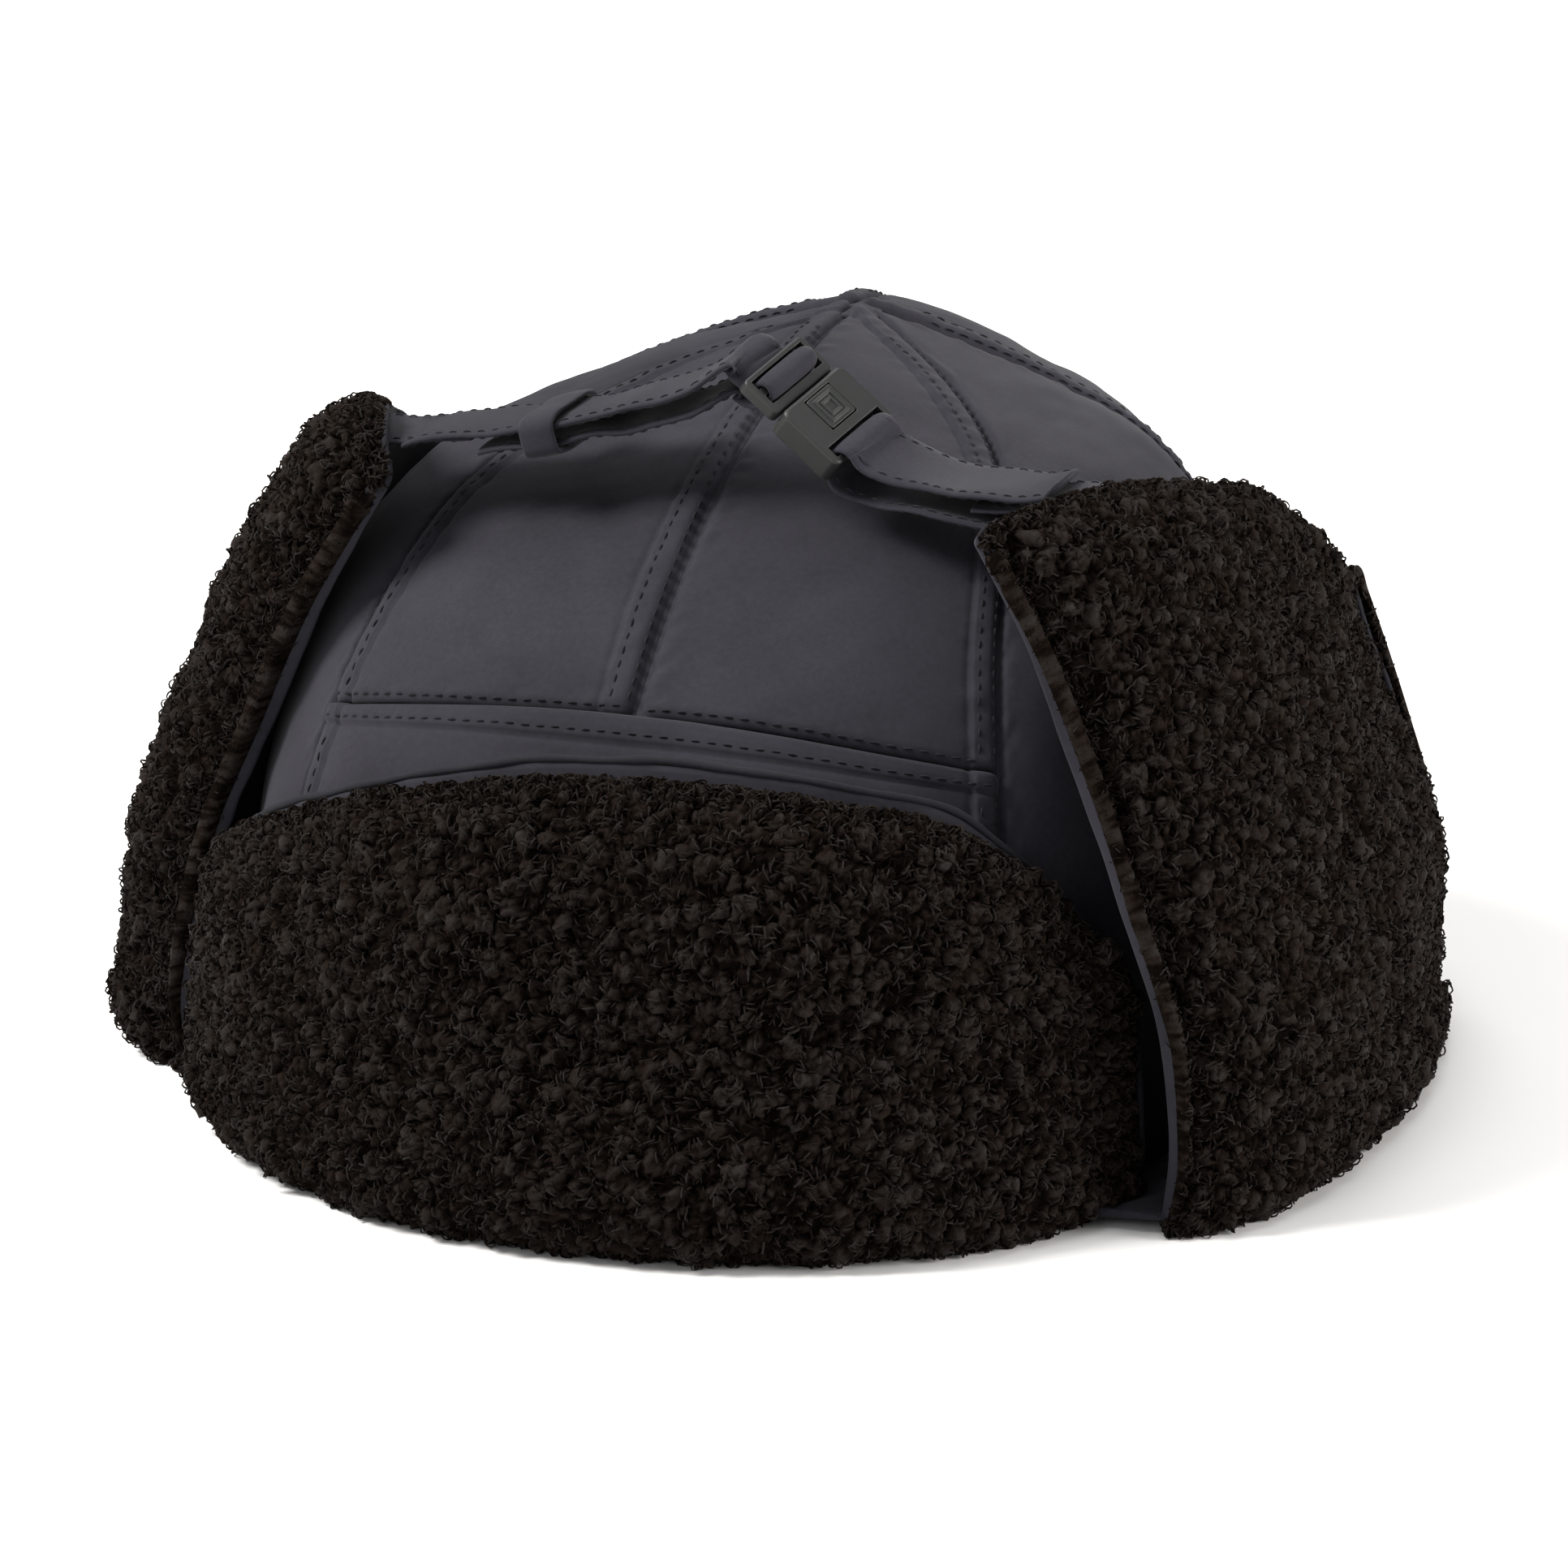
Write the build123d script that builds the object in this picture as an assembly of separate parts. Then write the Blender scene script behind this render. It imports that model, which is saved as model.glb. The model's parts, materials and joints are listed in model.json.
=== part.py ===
"""Winter cap with a fleece-lined crown, turned-up visor, ear and neck flaps, and a strap
buckled over the top. The rim lies on z = 0, the front faces -Y and the wearer's left is +X.

Crown points are given by (angle, reach): angle about +Z from the front towards +X, and
reach 1 at the rim and 0 at the apex. Flap points are given by (across, up, depth).
"""
from build123d import *
import math
import os

PI = math.pi

# ---------------------------------------------------------------- crown sizes (mm)
# outside of the shell fabric
CROWN_HALF_WIDTH = 98.0
CROWN_HALF_LENGTH = 113.0
CROWN_HEIGHT = 138.0
CROWN_DIP = 13.7             # hollow of the side slopes between apex and shoulder
CROWN_APEX_Y = 48.0
CROWN_CORNER = 2.15          # superellipse exponent of the rim outline
TOP_REACH = 0.045            # panels and lining stop here, just short of the apex
BODY_Z0 = 1.6                # panels and lining start above the binding

SHELL_T = 1.1
PANEL_GAP = 0.5              # between neighbouring panels
FRONT_BAND_Z = 89.0          # horizontal front seam, at the centre
FRONT_BAND_DROP = 9.0        # fall of that seam 50 degrees from the centre

SEAM_W = 5.5                 # topstitched seam strips
SEAM_T = 0.8
SEAM_LIFT = 0.25             # strip underside above the shell face
SEAM_LOW_REACH = 0.985
CENTRE_SEAM_TOP = 0.13       # reach where the centre strips end
SIDE_SEAM_TOP = 0.2          # reach where the other strips end

LINING_DROP = 2.4            # shell face to lining
LINING_T = 6.5
SWEATBAND_GAP = 1.3
SWEATBAND_T = 1.6
SWEATBAND_TOP_Z = 34.0

BINDING_T = 1.3
BINDING_OUT = 0.9            # binding beyond the shell face
BINDING_IN = 2.0             # binding allowance on the inside

# seam angles in degrees: (reach, angle)
FRONT_SEAM = ([0, .45, .65, .8, 1], [80, 68, 58, 51, 47])
REAR_SEAM = ([0, .5, 1], [118, 116, 114])


# ---------------------------------------------------------------- small maths
def signed_power(value, exponent):
    return math.copysign(abs(value) ** exponent, value)


def superellipse(angle, half_x, half_y, exponent):
    """angle 0 lies at -Y"""
    return (half_x * signed_power(math.sin(angle), 2 / exponent),
            -half_y * signed_power(math.cos(angle), 2 / exponent))


def table(x, xs, ys):
    """smooth cubic interpolation, held constant beyond the ends"""
    x = min(max(x, xs[0]), xs[-1])
    last = len(xs) - 1
    i = 0
    while i < last - 1 and x > xs[i + 1]:
        i += 1

    def slope(k):
        before, after = max(k - 1, 0), min(k + 1, last)
        return (ys[after] - ys[before]) / (xs[after] - xs[before])

    step = xs[i + 1] - xs[i]
    t = (x - xs[i]) / step
    return ((2 * t ** 3 - 3 * t ** 2 + 1) * ys[i]
            + (t ** 3 - 2 * t ** 2 + t) * step * slope(i)
            + (-2 * t ** 3 + 3 * t ** 2) * ys[i + 1]
            + (t ** 3 - t ** 2) * step * slope(i + 1))


def lerp(start, end, t):
    return start + (end - start) * t


# ---------------------------------------------------------------- solids from point grids
def facet(a, b, c):
    """triangle, or nothing where the points fall together"""
    if (b - a).cross(c - a).length < 1e-5:
        return []
    return [Face(Wire.make_polygon([a, b, c], close=True))]


def quad(a, b, c, d):
    return facet(a, b, c) + facet(a, c, d)


def slab(outer, inner):
    """closed faceted solid between two point grids of the same layout"""
    out = [[Vector(*p) for p in row] for row in outer]
    inn = [[Vector(*p) for p in row] for row in inner]
    top, end = len(out) - 1, len(out[0]) - 1
    faces = []
    for j in range(top):
        for i in range(end):
            faces += quad(out[j][i], out[j][i + 1], out[j + 1][i + 1], out[j + 1][i])
            faces += facet(inn[j][i], inn[j + 1][i + 1], inn[j][i + 1])
            faces += facet(inn[j][i], inn[j + 1][i], inn[j + 1][i + 1])
    for j in range(top):
        faces += quad(out[j][0], out[j + 1][0], inn[j + 1][0], inn[j][0])
        faces += quad(out[j][end], inn[j][end], inn[j + 1][end], out[j + 1][end])
    for i in range(end):
        faces += quad(out[0][i], inn[0][i], inn[0][i + 1], out[0][i + 1])
        faces += quad(out[top][i], out[top][i + 1], inn[top][i + 1], inn[top][i])
    solid = Solid(Shell(Face.sew_faces(faces)[0]))
    if solid.volume < 0:
        solid = Solid(Shell(Face.sew_faces([-f for f in faces])[0]))
    return solid


# ---------------------------------------------------------------- crown surface
def rim(angle, offset=0.0):
    return superellipse(angle, CROWN_HALF_WIDTH + offset, CROWN_HALF_LENGTH + offset,
                        CROWN_CORNER)


def crown(angle, reach, offset=0.0):
    sideways = math.sin(angle)
    # profile exponent: squarer shoulders at the sides, slightly squarer at the rear
    profile = 2.05 + 0.75 * sideways ** 2
    if math.cos(angle) < 0:
        profile += 0.25 * math.cos(angle) ** 2
    rise = max(0.0, 1 - reach ** profile) ** (1 / profile)
    dip = CROWN_DIP * (1 - reach ** 2) ** 2 * abs(sideways) * min(1.0, reach / 0.5)
    rim_x, rim_y = rim(angle, offset)
    return (reach * rim_x,
            CROWN_APEX_Y + reach * (rim_y - CROWN_APEX_Y),
            (CROWN_HEIGHT + offset) * rise - dip)


def reach_at_z(angle, z, offset=0.0):
    """bisect for the reach where the crown has height z"""
    near, far = 0.02, 1.0
    for _ in range(50):
        middle = 0.5 * (near + far)
        if crown(angle, middle, offset)[2] > z:
            near = middle
        else:
            far = middle
    return 0.5 * (near + far)


def row_reach(low, high, t):
    """rows evenly spread along the curve of the crown"""
    return math.cos(lerp(math.acos(min(1.0, low)), math.acos(high), t))


def crown_slab(rows, outer_offset, inner_offset):
    """rows of (angle, reach), thickened between two offsets of the crown"""
    outer, inner = ([[crown(angle, reach, offset) for angle, reach in row] for row in rows]
                    for offset in (outer_offset, inner_offset))
    return slab(outer, inner)


def const(value):
    return lambda *_: value


def front_seam(reach):
    """angle of the seam between front and side panels"""
    return math.radians(table(reach, *FRONT_SEAM))


def rear_seam(reach):
    """angle of the seam between side and rear panels"""
    return math.radians(table(reach, *REAR_SEAM))


def band_z(angle):
    """height of the horizontal front seam"""
    return FRONT_BAND_Z - FRONT_BAND_DROP * (abs(math.degrees(angle)) / 50.0) ** 2


# ---------------------------------------------------------------- crown panels
def crown_panel(start, end, low, high, columns=8, rows=15):
    """start and end give angle from reach; low and high give reach from angle"""
    grid = []
    for j in range(rows):
        t = j / (rows - 1)
        row = []
        for i in range(columns):
            reach = lerp(1.0, 0.1, t)
            # a few passes settle the angle and the reach together
            for _ in range(6):
                angle = lerp(start(reach), end(reach), i / (columns - 1))
                reach = row_reach(low(angle), high(angle), t)
            row.append((angle, reach))
        grid.append(row)
    return crown_slab(grid, 0, -SHELL_T)


def gap_angle(reach):
    """half the panel gap as an angle, on a nominal 100 mm crown radius"""
    return (PANEL_GAP / 2) / max(14.0, 100.0 * reach)


def rim_reach(angle):
    return reach_at_z(angle, BODY_Z0)


def band_reach(lift):
    return lambda angle: reach_at_z(angle, band_z(angle) + lift)


def panel_set():
    gap = gap_angle
    parts = {"front_band": crown_panel(lambda r: gap(r) - front_seam(r),
                                       lambda r: front_seam(r) - gap(r),
                                       rim_reach, band_reach(-PANEL_GAP / 2),
                                       columns=15, rows=7)}
    # name, seam nearer the front, seam nearer the rear, lower edge
    panels = (("front", const(0.0), front_seam, band_reach(PANEL_GAP / 2)),
              ("side", front_seam, rear_seam, rim_reach),
              ("rear", rear_seam, const(PI), rim_reach))
    for name, fore, aft, low in panels:
        parts[f"{name}_panel_left"] = crown_panel(
            lambda r: fore(r) + gap(r), lambda r: aft(r) - gap(r), low, const(TOP_REACH))
        parts[f"{name}_panel_right"] = crown_panel(
            lambda r: gap(r) - aft(r), lambda r: -fore(r) - gap(r), low, const(TOP_REACH))
    return parts


# ---------------------------------------------------------------- seam strips on the crown
def seam_strip(path, low, high, rows=21):
    """strip of constant width along a seam; path gives angle from reach"""
    reach_step, angle_step, offset = 0.004, 0.01, 0.2
    grid = []
    for j in range(rows):
        reach = row_reach(low, high, j / (rows - 1))
        angle = path(reach)
        below, above = reach + reach_step, reach - reach_step
        along = (Vector(*crown(path(above), above, offset))
                 - Vector(*crown(path(below), below, offset)))
        sideways = (Vector(*crown(angle + angle_step, reach, offset))
                    - Vector(*crown(angle - angle_step, reach, offset)))
        # part of the sideways step that is square to the seam, per radian
        square = sideways - along * (sideways.dot(along) / along.dot(along))
        radius = max(square.length / (2 * angle_step), 9.0)
        grid.append([(angle + s * (SEAM_W / 2) / radius, reach) for s in (-1, 0, 1)])
    return crown_slab(grid, SEAM_LIFT + SEAM_T, SEAM_LIFT)


def band_strip(start, end, rows=25):
    """strip along the horizontal front seam"""
    grid = []
    for j in range(rows):
        angle = lerp(start, end, j / (rows - 1))
        grid.append([(angle, reach_at_z(angle, band_z(angle) + s * SEAM_W / 2))
                     for s in (-1, 0, 1)])
    return crown_slab(grid, SEAM_LIFT + SEAM_T, SEAM_LIFT)


def strip_set():
    above_band = reach_at_z(0.0, FRONT_BAND_Z + SEAM_W / 2 + 0.8)
    band_end = front_seam(0.82) - 0.075      # stops short of the front side seams
    parts = {"seam_front_centre": seam_strip(const(0.0), above_band, CENTRE_SEAM_TOP),
             "seam_rear_centre": seam_strip(const(PI), SEAM_LOW_REACH, CENTRE_SEAM_TOP),
             "seam_front_band": band_strip(-band_end, band_end)}
    for name, seam in (("front", front_seam), ("rear", rear_seam)):
        for side, side_name in ((1, "left"), (-1, "right")):
            parts[f"seam_{name}_{side_name}"] = seam_strip(
                lambda r: side * seam(r), SEAM_LOW_REACH, SIDE_SEAM_TOP)
    return parts


# ---------------------------------------------------------------- inside of the crown
def half_wall(side, offset, thickness, top_z=None, rows=14, columns=25):
    """one half of a wall inside the crown, split along the centre; side +1 is left"""
    grid = [[] for _ in range(rows)]
    for i in range(columns):
        angle = lerp(0.004, PI - 0.004, i / (columns - 1)) * side
        low = reach_at_z(angle, BODY_Z0, offset)
        high = TOP_REACH if top_z is None else reach_at_z(angle, top_z, offset)
        for j, row in enumerate(grid):
            row.append((angle, row_reach(low, high, j / (rows - 1))))
    return crown_slab(grid, offset, offset - thickness)


def inner_set():
    sweatband_offset = -LINING_DROP - LINING_T - SWEATBAND_GAP
    parts = {}
    for side, name in ((1, "left"), (-1, "right")):
        parts[f"crown_lining_{name}"] = half_wall(side, -LINING_DROP, LINING_T)
        parts[f"sweatband_{name}"] = half_wall(side, sweatband_offset, SWEATBAND_T,
                                               SWEATBAND_TOP_Z, rows=4)
    return parts


def rim_outline(offset, count=72):
    return Spline([(*rim(2 * PI * i / count, offset), 0) for i in range(count)],
                  periodic=True)


def rim_binding():
    inner_offset = -LINING_DROP - LINING_T - SWEATBAND_T - BINDING_IN
    ring = make_face(rim_outline(BINDING_OUT)) - make_face(rim_outline(inner_offset))
    return extrude(ring, BINDING_T)


# ---------------------------------------------------------------- turned-up flaps
# up runs 0..1 from the base to the top edge; depth is measured in from the outer face.
# across runs -1..1 from right to left on visor and neck flap, 0..1 front to rear on the ears.
FLAP_Z0 = 3.0
FLAP_SHELL_T = 1.2
FLAP_GAP = 0.3               # fleece to shell
FLAP_CENTRE_Y = 1.0          # plan centre of visor and neck flap
FLAP_ROWS = [0, .08, .2, .35, .5, .65, .82, 1]

VISOR_HALF_ANGLE = 63
VISOR_HALF_LENGTH = 131.0
VISOR_HALF_WIDTHS = (112.5, 108.5)       # right, left
VISOR_CORNERS = (2.05, 2.4)              # superellipse exponent: right, left
# (across, z of the top edge)
VISOR_TOP = ([-1, -.86, -.5, -.22, 0, .22, .45, .67, .88, 1],
             [46, 57, 73, 82, 86, 86, 83, 77, 60, 43])
VISOR_THICKNESS = ([0, .35, .8, 1], [10.6, 11.8, 11.8, 10.4])    # (up, thickness)

NECK_HALF_WIDTH = 127.0
NECK_HALF_LENGTH = 128.87
NECK_TOP_Z = 92.0
NECK_CORNER = 2.3
NECK_MIN_Y = 62.0            # the flap's ends stay behind this
NECK_THICKNESS = ([0, .35, .8, 1], [11, 11.5, 10, 8.5])          # (up, thickness)

EAR_STATIONS = [0, .1, .25, .45, .65, .85, 1]    # across, for the x, y and top columns
# x, y: outer face in plan; top: z of the top edge; inset: (z, lean towards the crown);
# lean: rearward lean of the front end per 130 mm of height
EAR_LEFT = dict(
    x=[112, 119, 127, 130, 130, 125, 118],
    y=[-78, -72, -52, -18, 14, 44, 60],
    top=[128, 132, 133, 128, 119, 104, 92],
    inset=([0, 14, 35, 48, 60, 75, 91, 110, 129, 140], [3, 0, 0, 3, 7, 12.5, 19, 28, 40, 48]),
    lean=9)
EAR_RIGHT = dict(
    x=[108, 115.5, 123.5, 129.6, 130, 125, 118],
    y=[-54, -50, -38, -14, 14, 44, 60],
    top=[122, 129, 134, 129, 118, 104, 92],
    inset=([0, 14, 31, 54, 73, 98, 124, 138], [3, 0, 1, 6, 14, 25, 41, 52]),
    lean=3)
EAR_THICKNESS = ([0, .12, .4, .8, 1], [23, 20, 16, 13.5, 11.5])  # (up, thickness)
EAR_FRONT_THICKNESS = 9.0    # lower front area


def base_tuck(z):
    """inward curl of the lowest 12 mm"""
    return 4.0 * max(0.0, 1 - z / 12) ** 2


def rounded_end(edge, body, end):
    """thickness growing in a quarter ellipse from edge (end = 0) to body (end = 1)"""
    return edge + (body - edge) * math.sqrt(max(0.0, 1 - (1 - end) ** 2))


def visor_point(across, up, depth):
    z = lerp(FLAP_Z0, table(across, *VISOR_TOP), up)
    inset = -25.0 * max(0.0, (z - 12) / 82) ** 1.35 - base_tuck(z)
    leftness = 0.5 + 0.5 * math.tanh(3 * across)
    x, y = superellipse(math.radians(VISOR_HALF_ANGLE) * across,
                        lerp(*VISOR_HALF_WIDTHS, leftness) + inset * 0.55 - depth,
                        VISOR_HALF_LENGTH + inset - depth,
                        lerp(*VISOR_CORNERS, leftness))
    return (x, FLAP_CENTRE_Y + y, z)


def visor_thickness(across, up):
    body = table(up, *VISOR_THICKNESS) * (1 - 0.3 * min(1.0, abs(across) * 1.3) ** 2)
    return rounded_end(2.5, body, min(1.0, (1 - abs(across)) / 0.16))


def neck_point(across, up, depth):
    angle = PI + across * math.radians(61.8 - 4.2 * up)
    z = lerp(FLAP_Z0, NECK_TOP_Z - 4 * across ** 2, up)
    inset = -15.5 * max(0.0, (z - 20) / 72) ** 1.5 - base_tuck(z)
    x, y = superellipse(angle, NECK_HALF_WIDTH + inset - depth,
                        NECK_HALF_LENGTH + inset - depth, NECK_CORNER)
    return (-x, max(FLAP_CENTRE_Y + y, NECK_MIN_Y + 0.2 * depth), z)


def neck_thickness(across, up):
    body = table(up, *NECK_THICKNESS) * (1 - 0.2 * across ** 2)
    return rounded_end(3.0, body, min(1.0, (1 - abs(across)) / 0.12))


def ear_point(side, ear):
    """point function of one ear flap; side +1 is left"""
    def point(across, up, depth):
        plan_x, plan_y, top = (table(across, EAR_STATIONS, ear[key])
                               for key in ("x", "y", "top"))
        z = lerp(FLAP_Z0, top, up)
        front_tuck = max(0.0, 1 - across / 0.12) * 4.0 * min(1.0, z / 60)
        x = plan_x - table(z, *ear["inset"]) - depth - front_tuck
        y = plan_y + ear["lean"] * z / 130 * max(0.0, 1 - across / 0.5)
        return (side * x, y, z)
    return point


def ear_thickness(across, up):
    low_front = min(1.0, max(0.0, (0.42 - across) / 0.32)) * max(0.0, 1 - up / 0.7)
    body = lerp(table(up, *EAR_THICKNESS), EAR_FRONT_THICKNESS, low_front)
    return rounded_end(2.5, body, min(1.0, across / 0.14, (1 - across) / 0.10))


def end_weighted(start, end, count):
    """values closer together near both ends"""
    return [lerp(start, end, 0.5 - 0.5 * math.cos(PI * i / (count - 1)))
            for i in range(count)]


def flap(name, point, thickness, columns):
    """fleece pad and the shell sheet behind it"""
    def sheet(share, extra):
        return [[point(across, up, share * thickness(across, up) + extra)
                 for across in columns] for up in FLAP_ROWS]

    return {f"{name}_fleece": slab(sheet(0, 0), sheet(1, 0)),
            f"{name}_shell": slab(sheet(1, FLAP_GAP), sheet(1, FLAP_GAP + FLAP_SHELL_T))}


def flap_set():
    full, ear = end_weighted(-1, 1, 19), end_weighted(0, 1, 17)
    return {**flap("visor", visor_point, visor_thickness, full),
            **flap("ear_flap_left", ear_point(1, EAR_LEFT), ear_thickness, ear),
            **flap("ear_flap_right", ear_point(-1, EAR_RIGHT), ear_thickness, ear),
            **flap("neck_flap", neck_point, neck_thickness, full)}


# ---------------------------------------------------------------- strap
# buckle frame: ALONG runs down to the left, ACROSS spans the strap, OUT leaves the face
STRAP_W = 16.0
STRAP_T = 1.1
STRAP_Y = -33.0
BUCKLE_CENTRE = Vector(20.0, STRAP_Y, 139.0)
ALONG = Vector(0.779, -0.027, -0.630).normalized()
ACROSS_HINT = Vector(0.242, 0.936, 0.26)
ACROSS = (ACROSS_HINT - ALONG * ACROSS_HINT.dot(ALONG)).normalized()
OUT = ALONG.cross(ACROSS).normalized()


def over_crown(*points):
    """(x, z) points in the strap's plane over the crown"""
    return [Vector(x, STRAP_Y, z) for x, z in points]


def in_buckle(*points):
    """(along, out) points in the buckle frame"""
    return [BUCKLE_CENTRE + ALONG * along + OUT * out for along, out in points]


# each band runs to the buckle, loops through it and doubles back underneath
RIGHT_PATH = (
    over_crown((-59.5, 126.3), (-55, 127.8), (-45, 129.8), (-31, 132.6), (-15, 137.4),
               (-3, 142.0))
    + in_buckle((-17.0, -3.4), (-13.4, -2.6), (-11.5, -2.35), (-10.3, -1.6), (-9.9, 0.0),
                (-9.5, 1.7), (-8.05, 2.5), (-6.6, 1.7), (-6.2, 0.0), (-6.5, -2.2),
                (-9.0, -5.0), (-13.5, -7.4))
    + over_crown((-3, 137.6), (-15, 133.4), (-31, 129.0), (-44, 126.4)))
LEFT_PATH = (
    over_crown((68.6, 128.4), (60, 127.2), (45, 127.8))
    + in_buckle((16.5, 3.6), (13.0, 3.9), (11.2, 3.9), (9.8, 2.9), (9.35, 1.2),
                (9.35, -1.2), (9.8, -2.9), (11.4, -4.0), (16.0, -4.6))
    + over_crown((45, 122.6), (57, 121.4), (66.5, 122.4)))


def smooth_path(control, count):
    """Catmull-Rom curve through the control points, evenly respaced"""
    padded = [control[0]] + control + [control[-1]]
    points = []
    for i in range(len(control) - 1):
        p0, p1, p2, p3 = padded[i:i + 4]
        for k in range(24):
            t = k / 24
            points.append((p1 * 2 + (p2 - p0) * t
                           + (p0 * 2 - p1 * 5 + p2 * 4 - p3) * t ** 2
                           + (p1 * 3 - p0 - p2 * 3 + p3) * t ** 3) * 0.5)
    points.append(control[-1])
    lengths = [0.0]
    for a, b in zip(points, points[1:]):
        lengths.append(lengths[-1] + (b - a).length)
    spaced = []
    k = 0
    for i in range(count):
        target = lengths[-1] * i / (count - 1)
        while k < len(lengths) - 2 and lengths[k + 1] < target:
            k += 1
        t = (target - lengths[k]) / max(1e-9, lengths[k + 1] - lengths[k])
        spaced.append(lerp(points[k], points[k + 1], min(1.0, max(0.0, t))))
    return spaced


def buckle_roll(point):
    """1 at the buckle, easing to 0 over 18 mm beyond its ends"""
    distance = max(0.0, abs((point - BUCKLE_CENTRE).dot(ALONG)) - 12.5)
    t = min(1.0, distance / 18.0)
    return 1 - t * t * (3 - 2 * t)


def strap_band(control, count):
    """flat band along a path, rolled to lie square in the buckle"""
    points = smooth_path(control, count)
    top, bottom = [], []
    for i, point in enumerate(points):
        tangent = (points[min(count - 1, i + 1)] - points[max(0, i - 1)]).normalized()
        roll = buckle_roll(point)
        side = Vector(0, 1, 0) * (1 - roll) + ACROSS * roll
        side = (side - tangent * side.dot(tangent)).normalized()
        normal = tangent.cross(side).normalized()
        edges = [point + side * (s * STRAP_W / 2) for s in (-1, 1)]
        top.append([edge + normal * (STRAP_T / 2) for edge in edges])
        bottom.append([edge - normal * (STRAP_T / 2) for edge in edges])
    return slab(top, bottom)


def strap_keeper():
    wall = 1.0
    inner_width, inner_height = STRAP_W + 1.6, 6.0
    outer = Box(7.0, inner_width + 2 * wall, inner_height + 2 * wall)
    outer = fillet(outer.edges().filter_by(Axis.X), 1.0)
    ring = outer - Box(8.0, inner_width, inner_height)
    return Pos(-31.0, STRAP_Y, 130.8) * Rot(0, -15.0, 0) * ring


# ---------------------------------------------------------------- buckle
# modelled with X along the strap, Y across it and Z out of the face
BUCKLE_W = 20.0
BUCKLE_L = 24.0
HOUSING_START = -2.6
HOUSING_T = 5.6
HOUSING_SLOT_X = 9.35
CAVITY_END = 6.2
CAVITY_SIDE_WALL = 2.9
LADDER_END = -3.0
LADDER_T = 2.6
LADDER_SLOTS_X = (-9.9, -6.2)
TONGUE_END = 5.7
TONGUE_SIDE_INSET = 3.25
INSERT_Z = -0.1              # mid-plane of cavity and tongue
TAB_X = 2.4
TAB_L, TAB_W = 7.0, 7.8
TAB_CLEAR = 0.3
TAB_FRAMES = (5.4, 3.2)      # outer sides of the raised square frames


def span_box(start, end, width, height, z=0.0):
    """box from start to end along X"""
    return Pos((start + end) / 2, 0, z) * Box(end - start, width, height)


def rounded_block(start, end, width, height, corner_radius, top_radius):
    block = Box(end - start, width, height)
    block = fillet(block.edges().filter_by(Axis.Z), corner_radius)
    block = fillet(block.faces().sort_by(Axis.Z)[-1].edges(), top_radius)
    return Pos((start + end) / 2, 0, 0) * block


def buckle_housing():
    """hollow box with a window for the push tab and a slot for the strap"""
    body = rounded_block(HOUSING_START, BUCKLE_L / 2, BUCKLE_W, HOUSING_T, 1.6, 0.7)
    body -= span_box(HOUSING_START - 1, CAVITY_END, BUCKLE_W - 2 * CAVITY_SIDE_WALL, 2.0,
                     INSERT_Z)
    body -= Pos(TAB_X, 0, 2.2) * Box(TAB_L + 2 * TAB_CLEAR, TAB_W + 2 * TAB_CLEAR, 4.4)
    body -= Pos(HOUSING_SLOT_X, 0, 0) * Box(2.5, STRAP_W + 1.0, 10)
    return body


def buckle_ladder():
    """three-bar ladder and the flat tongue that enters the housing"""
    ladder = rounded_block(-BUCKLE_L / 2, LADDER_END, BUCKLE_W - 0.6, LADDER_T, 1.2, 0.4)
    for slot_x in LADDER_SLOTS_X:
        ladder -= Pos(slot_x, 0, 0) * Box(2.1, STRAP_W + 0.8, 10)
    ladder += span_box(LADDER_END - 0.5, TONGUE_END, BUCKLE_W - 2 * TONGUE_SIDE_INSET, 1.3,
                       INSERT_Z)
    return ladder


def buckle_push_tab():
    """rectangular tab with two raised concentric frames"""
    tab = Pos(TAB_X, 0, 2.15) * Box(TAB_L, TAB_W, 1.5)
    tab = fillet(tab.edges().filter_by(Axis.Z), 0.5)
    for size in TAB_FRAMES:
        tab += Pos(TAB_X, 0, 3.0) * (Box(size, size, 0.4) - Box(size - 1.0, size - 1.0, 1))
    return tab


def strap_set():
    place = Plane(origin=BUCKLE_CENTRE, x_dir=ALONG, z_dir=OUT).location
    return {"strap_right_band": strap_band(RIGHT_PATH, 150),
            "strap_keeper": strap_keeper(),
            "strap_left_band": strap_band(LEFT_PATH, 110),
            "buckle_housing": place * buckle_housing(),
            "buckle_ladder": place * buckle_ladder(),
            "buckle_push_tab": place * buckle_push_tab()}


# ---------------------------------------------------------------- build and write
def build():
    return {**panel_set(), **strip_set(), **inner_set(), "rim_binding": rim_binding(),
            **flap_set(), **strap_set()}


if __name__ == "__main__":
    os.makedirs("parts", exist_ok=True)
    for name, shape in build().items():
        # a boolean may return a list of solids
        if isinstance(shape, (list, ShapeList)):
            shape = Compound(children=list(shape))
        export_step(shape, os.path.join("parts", name + ".step"))
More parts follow.
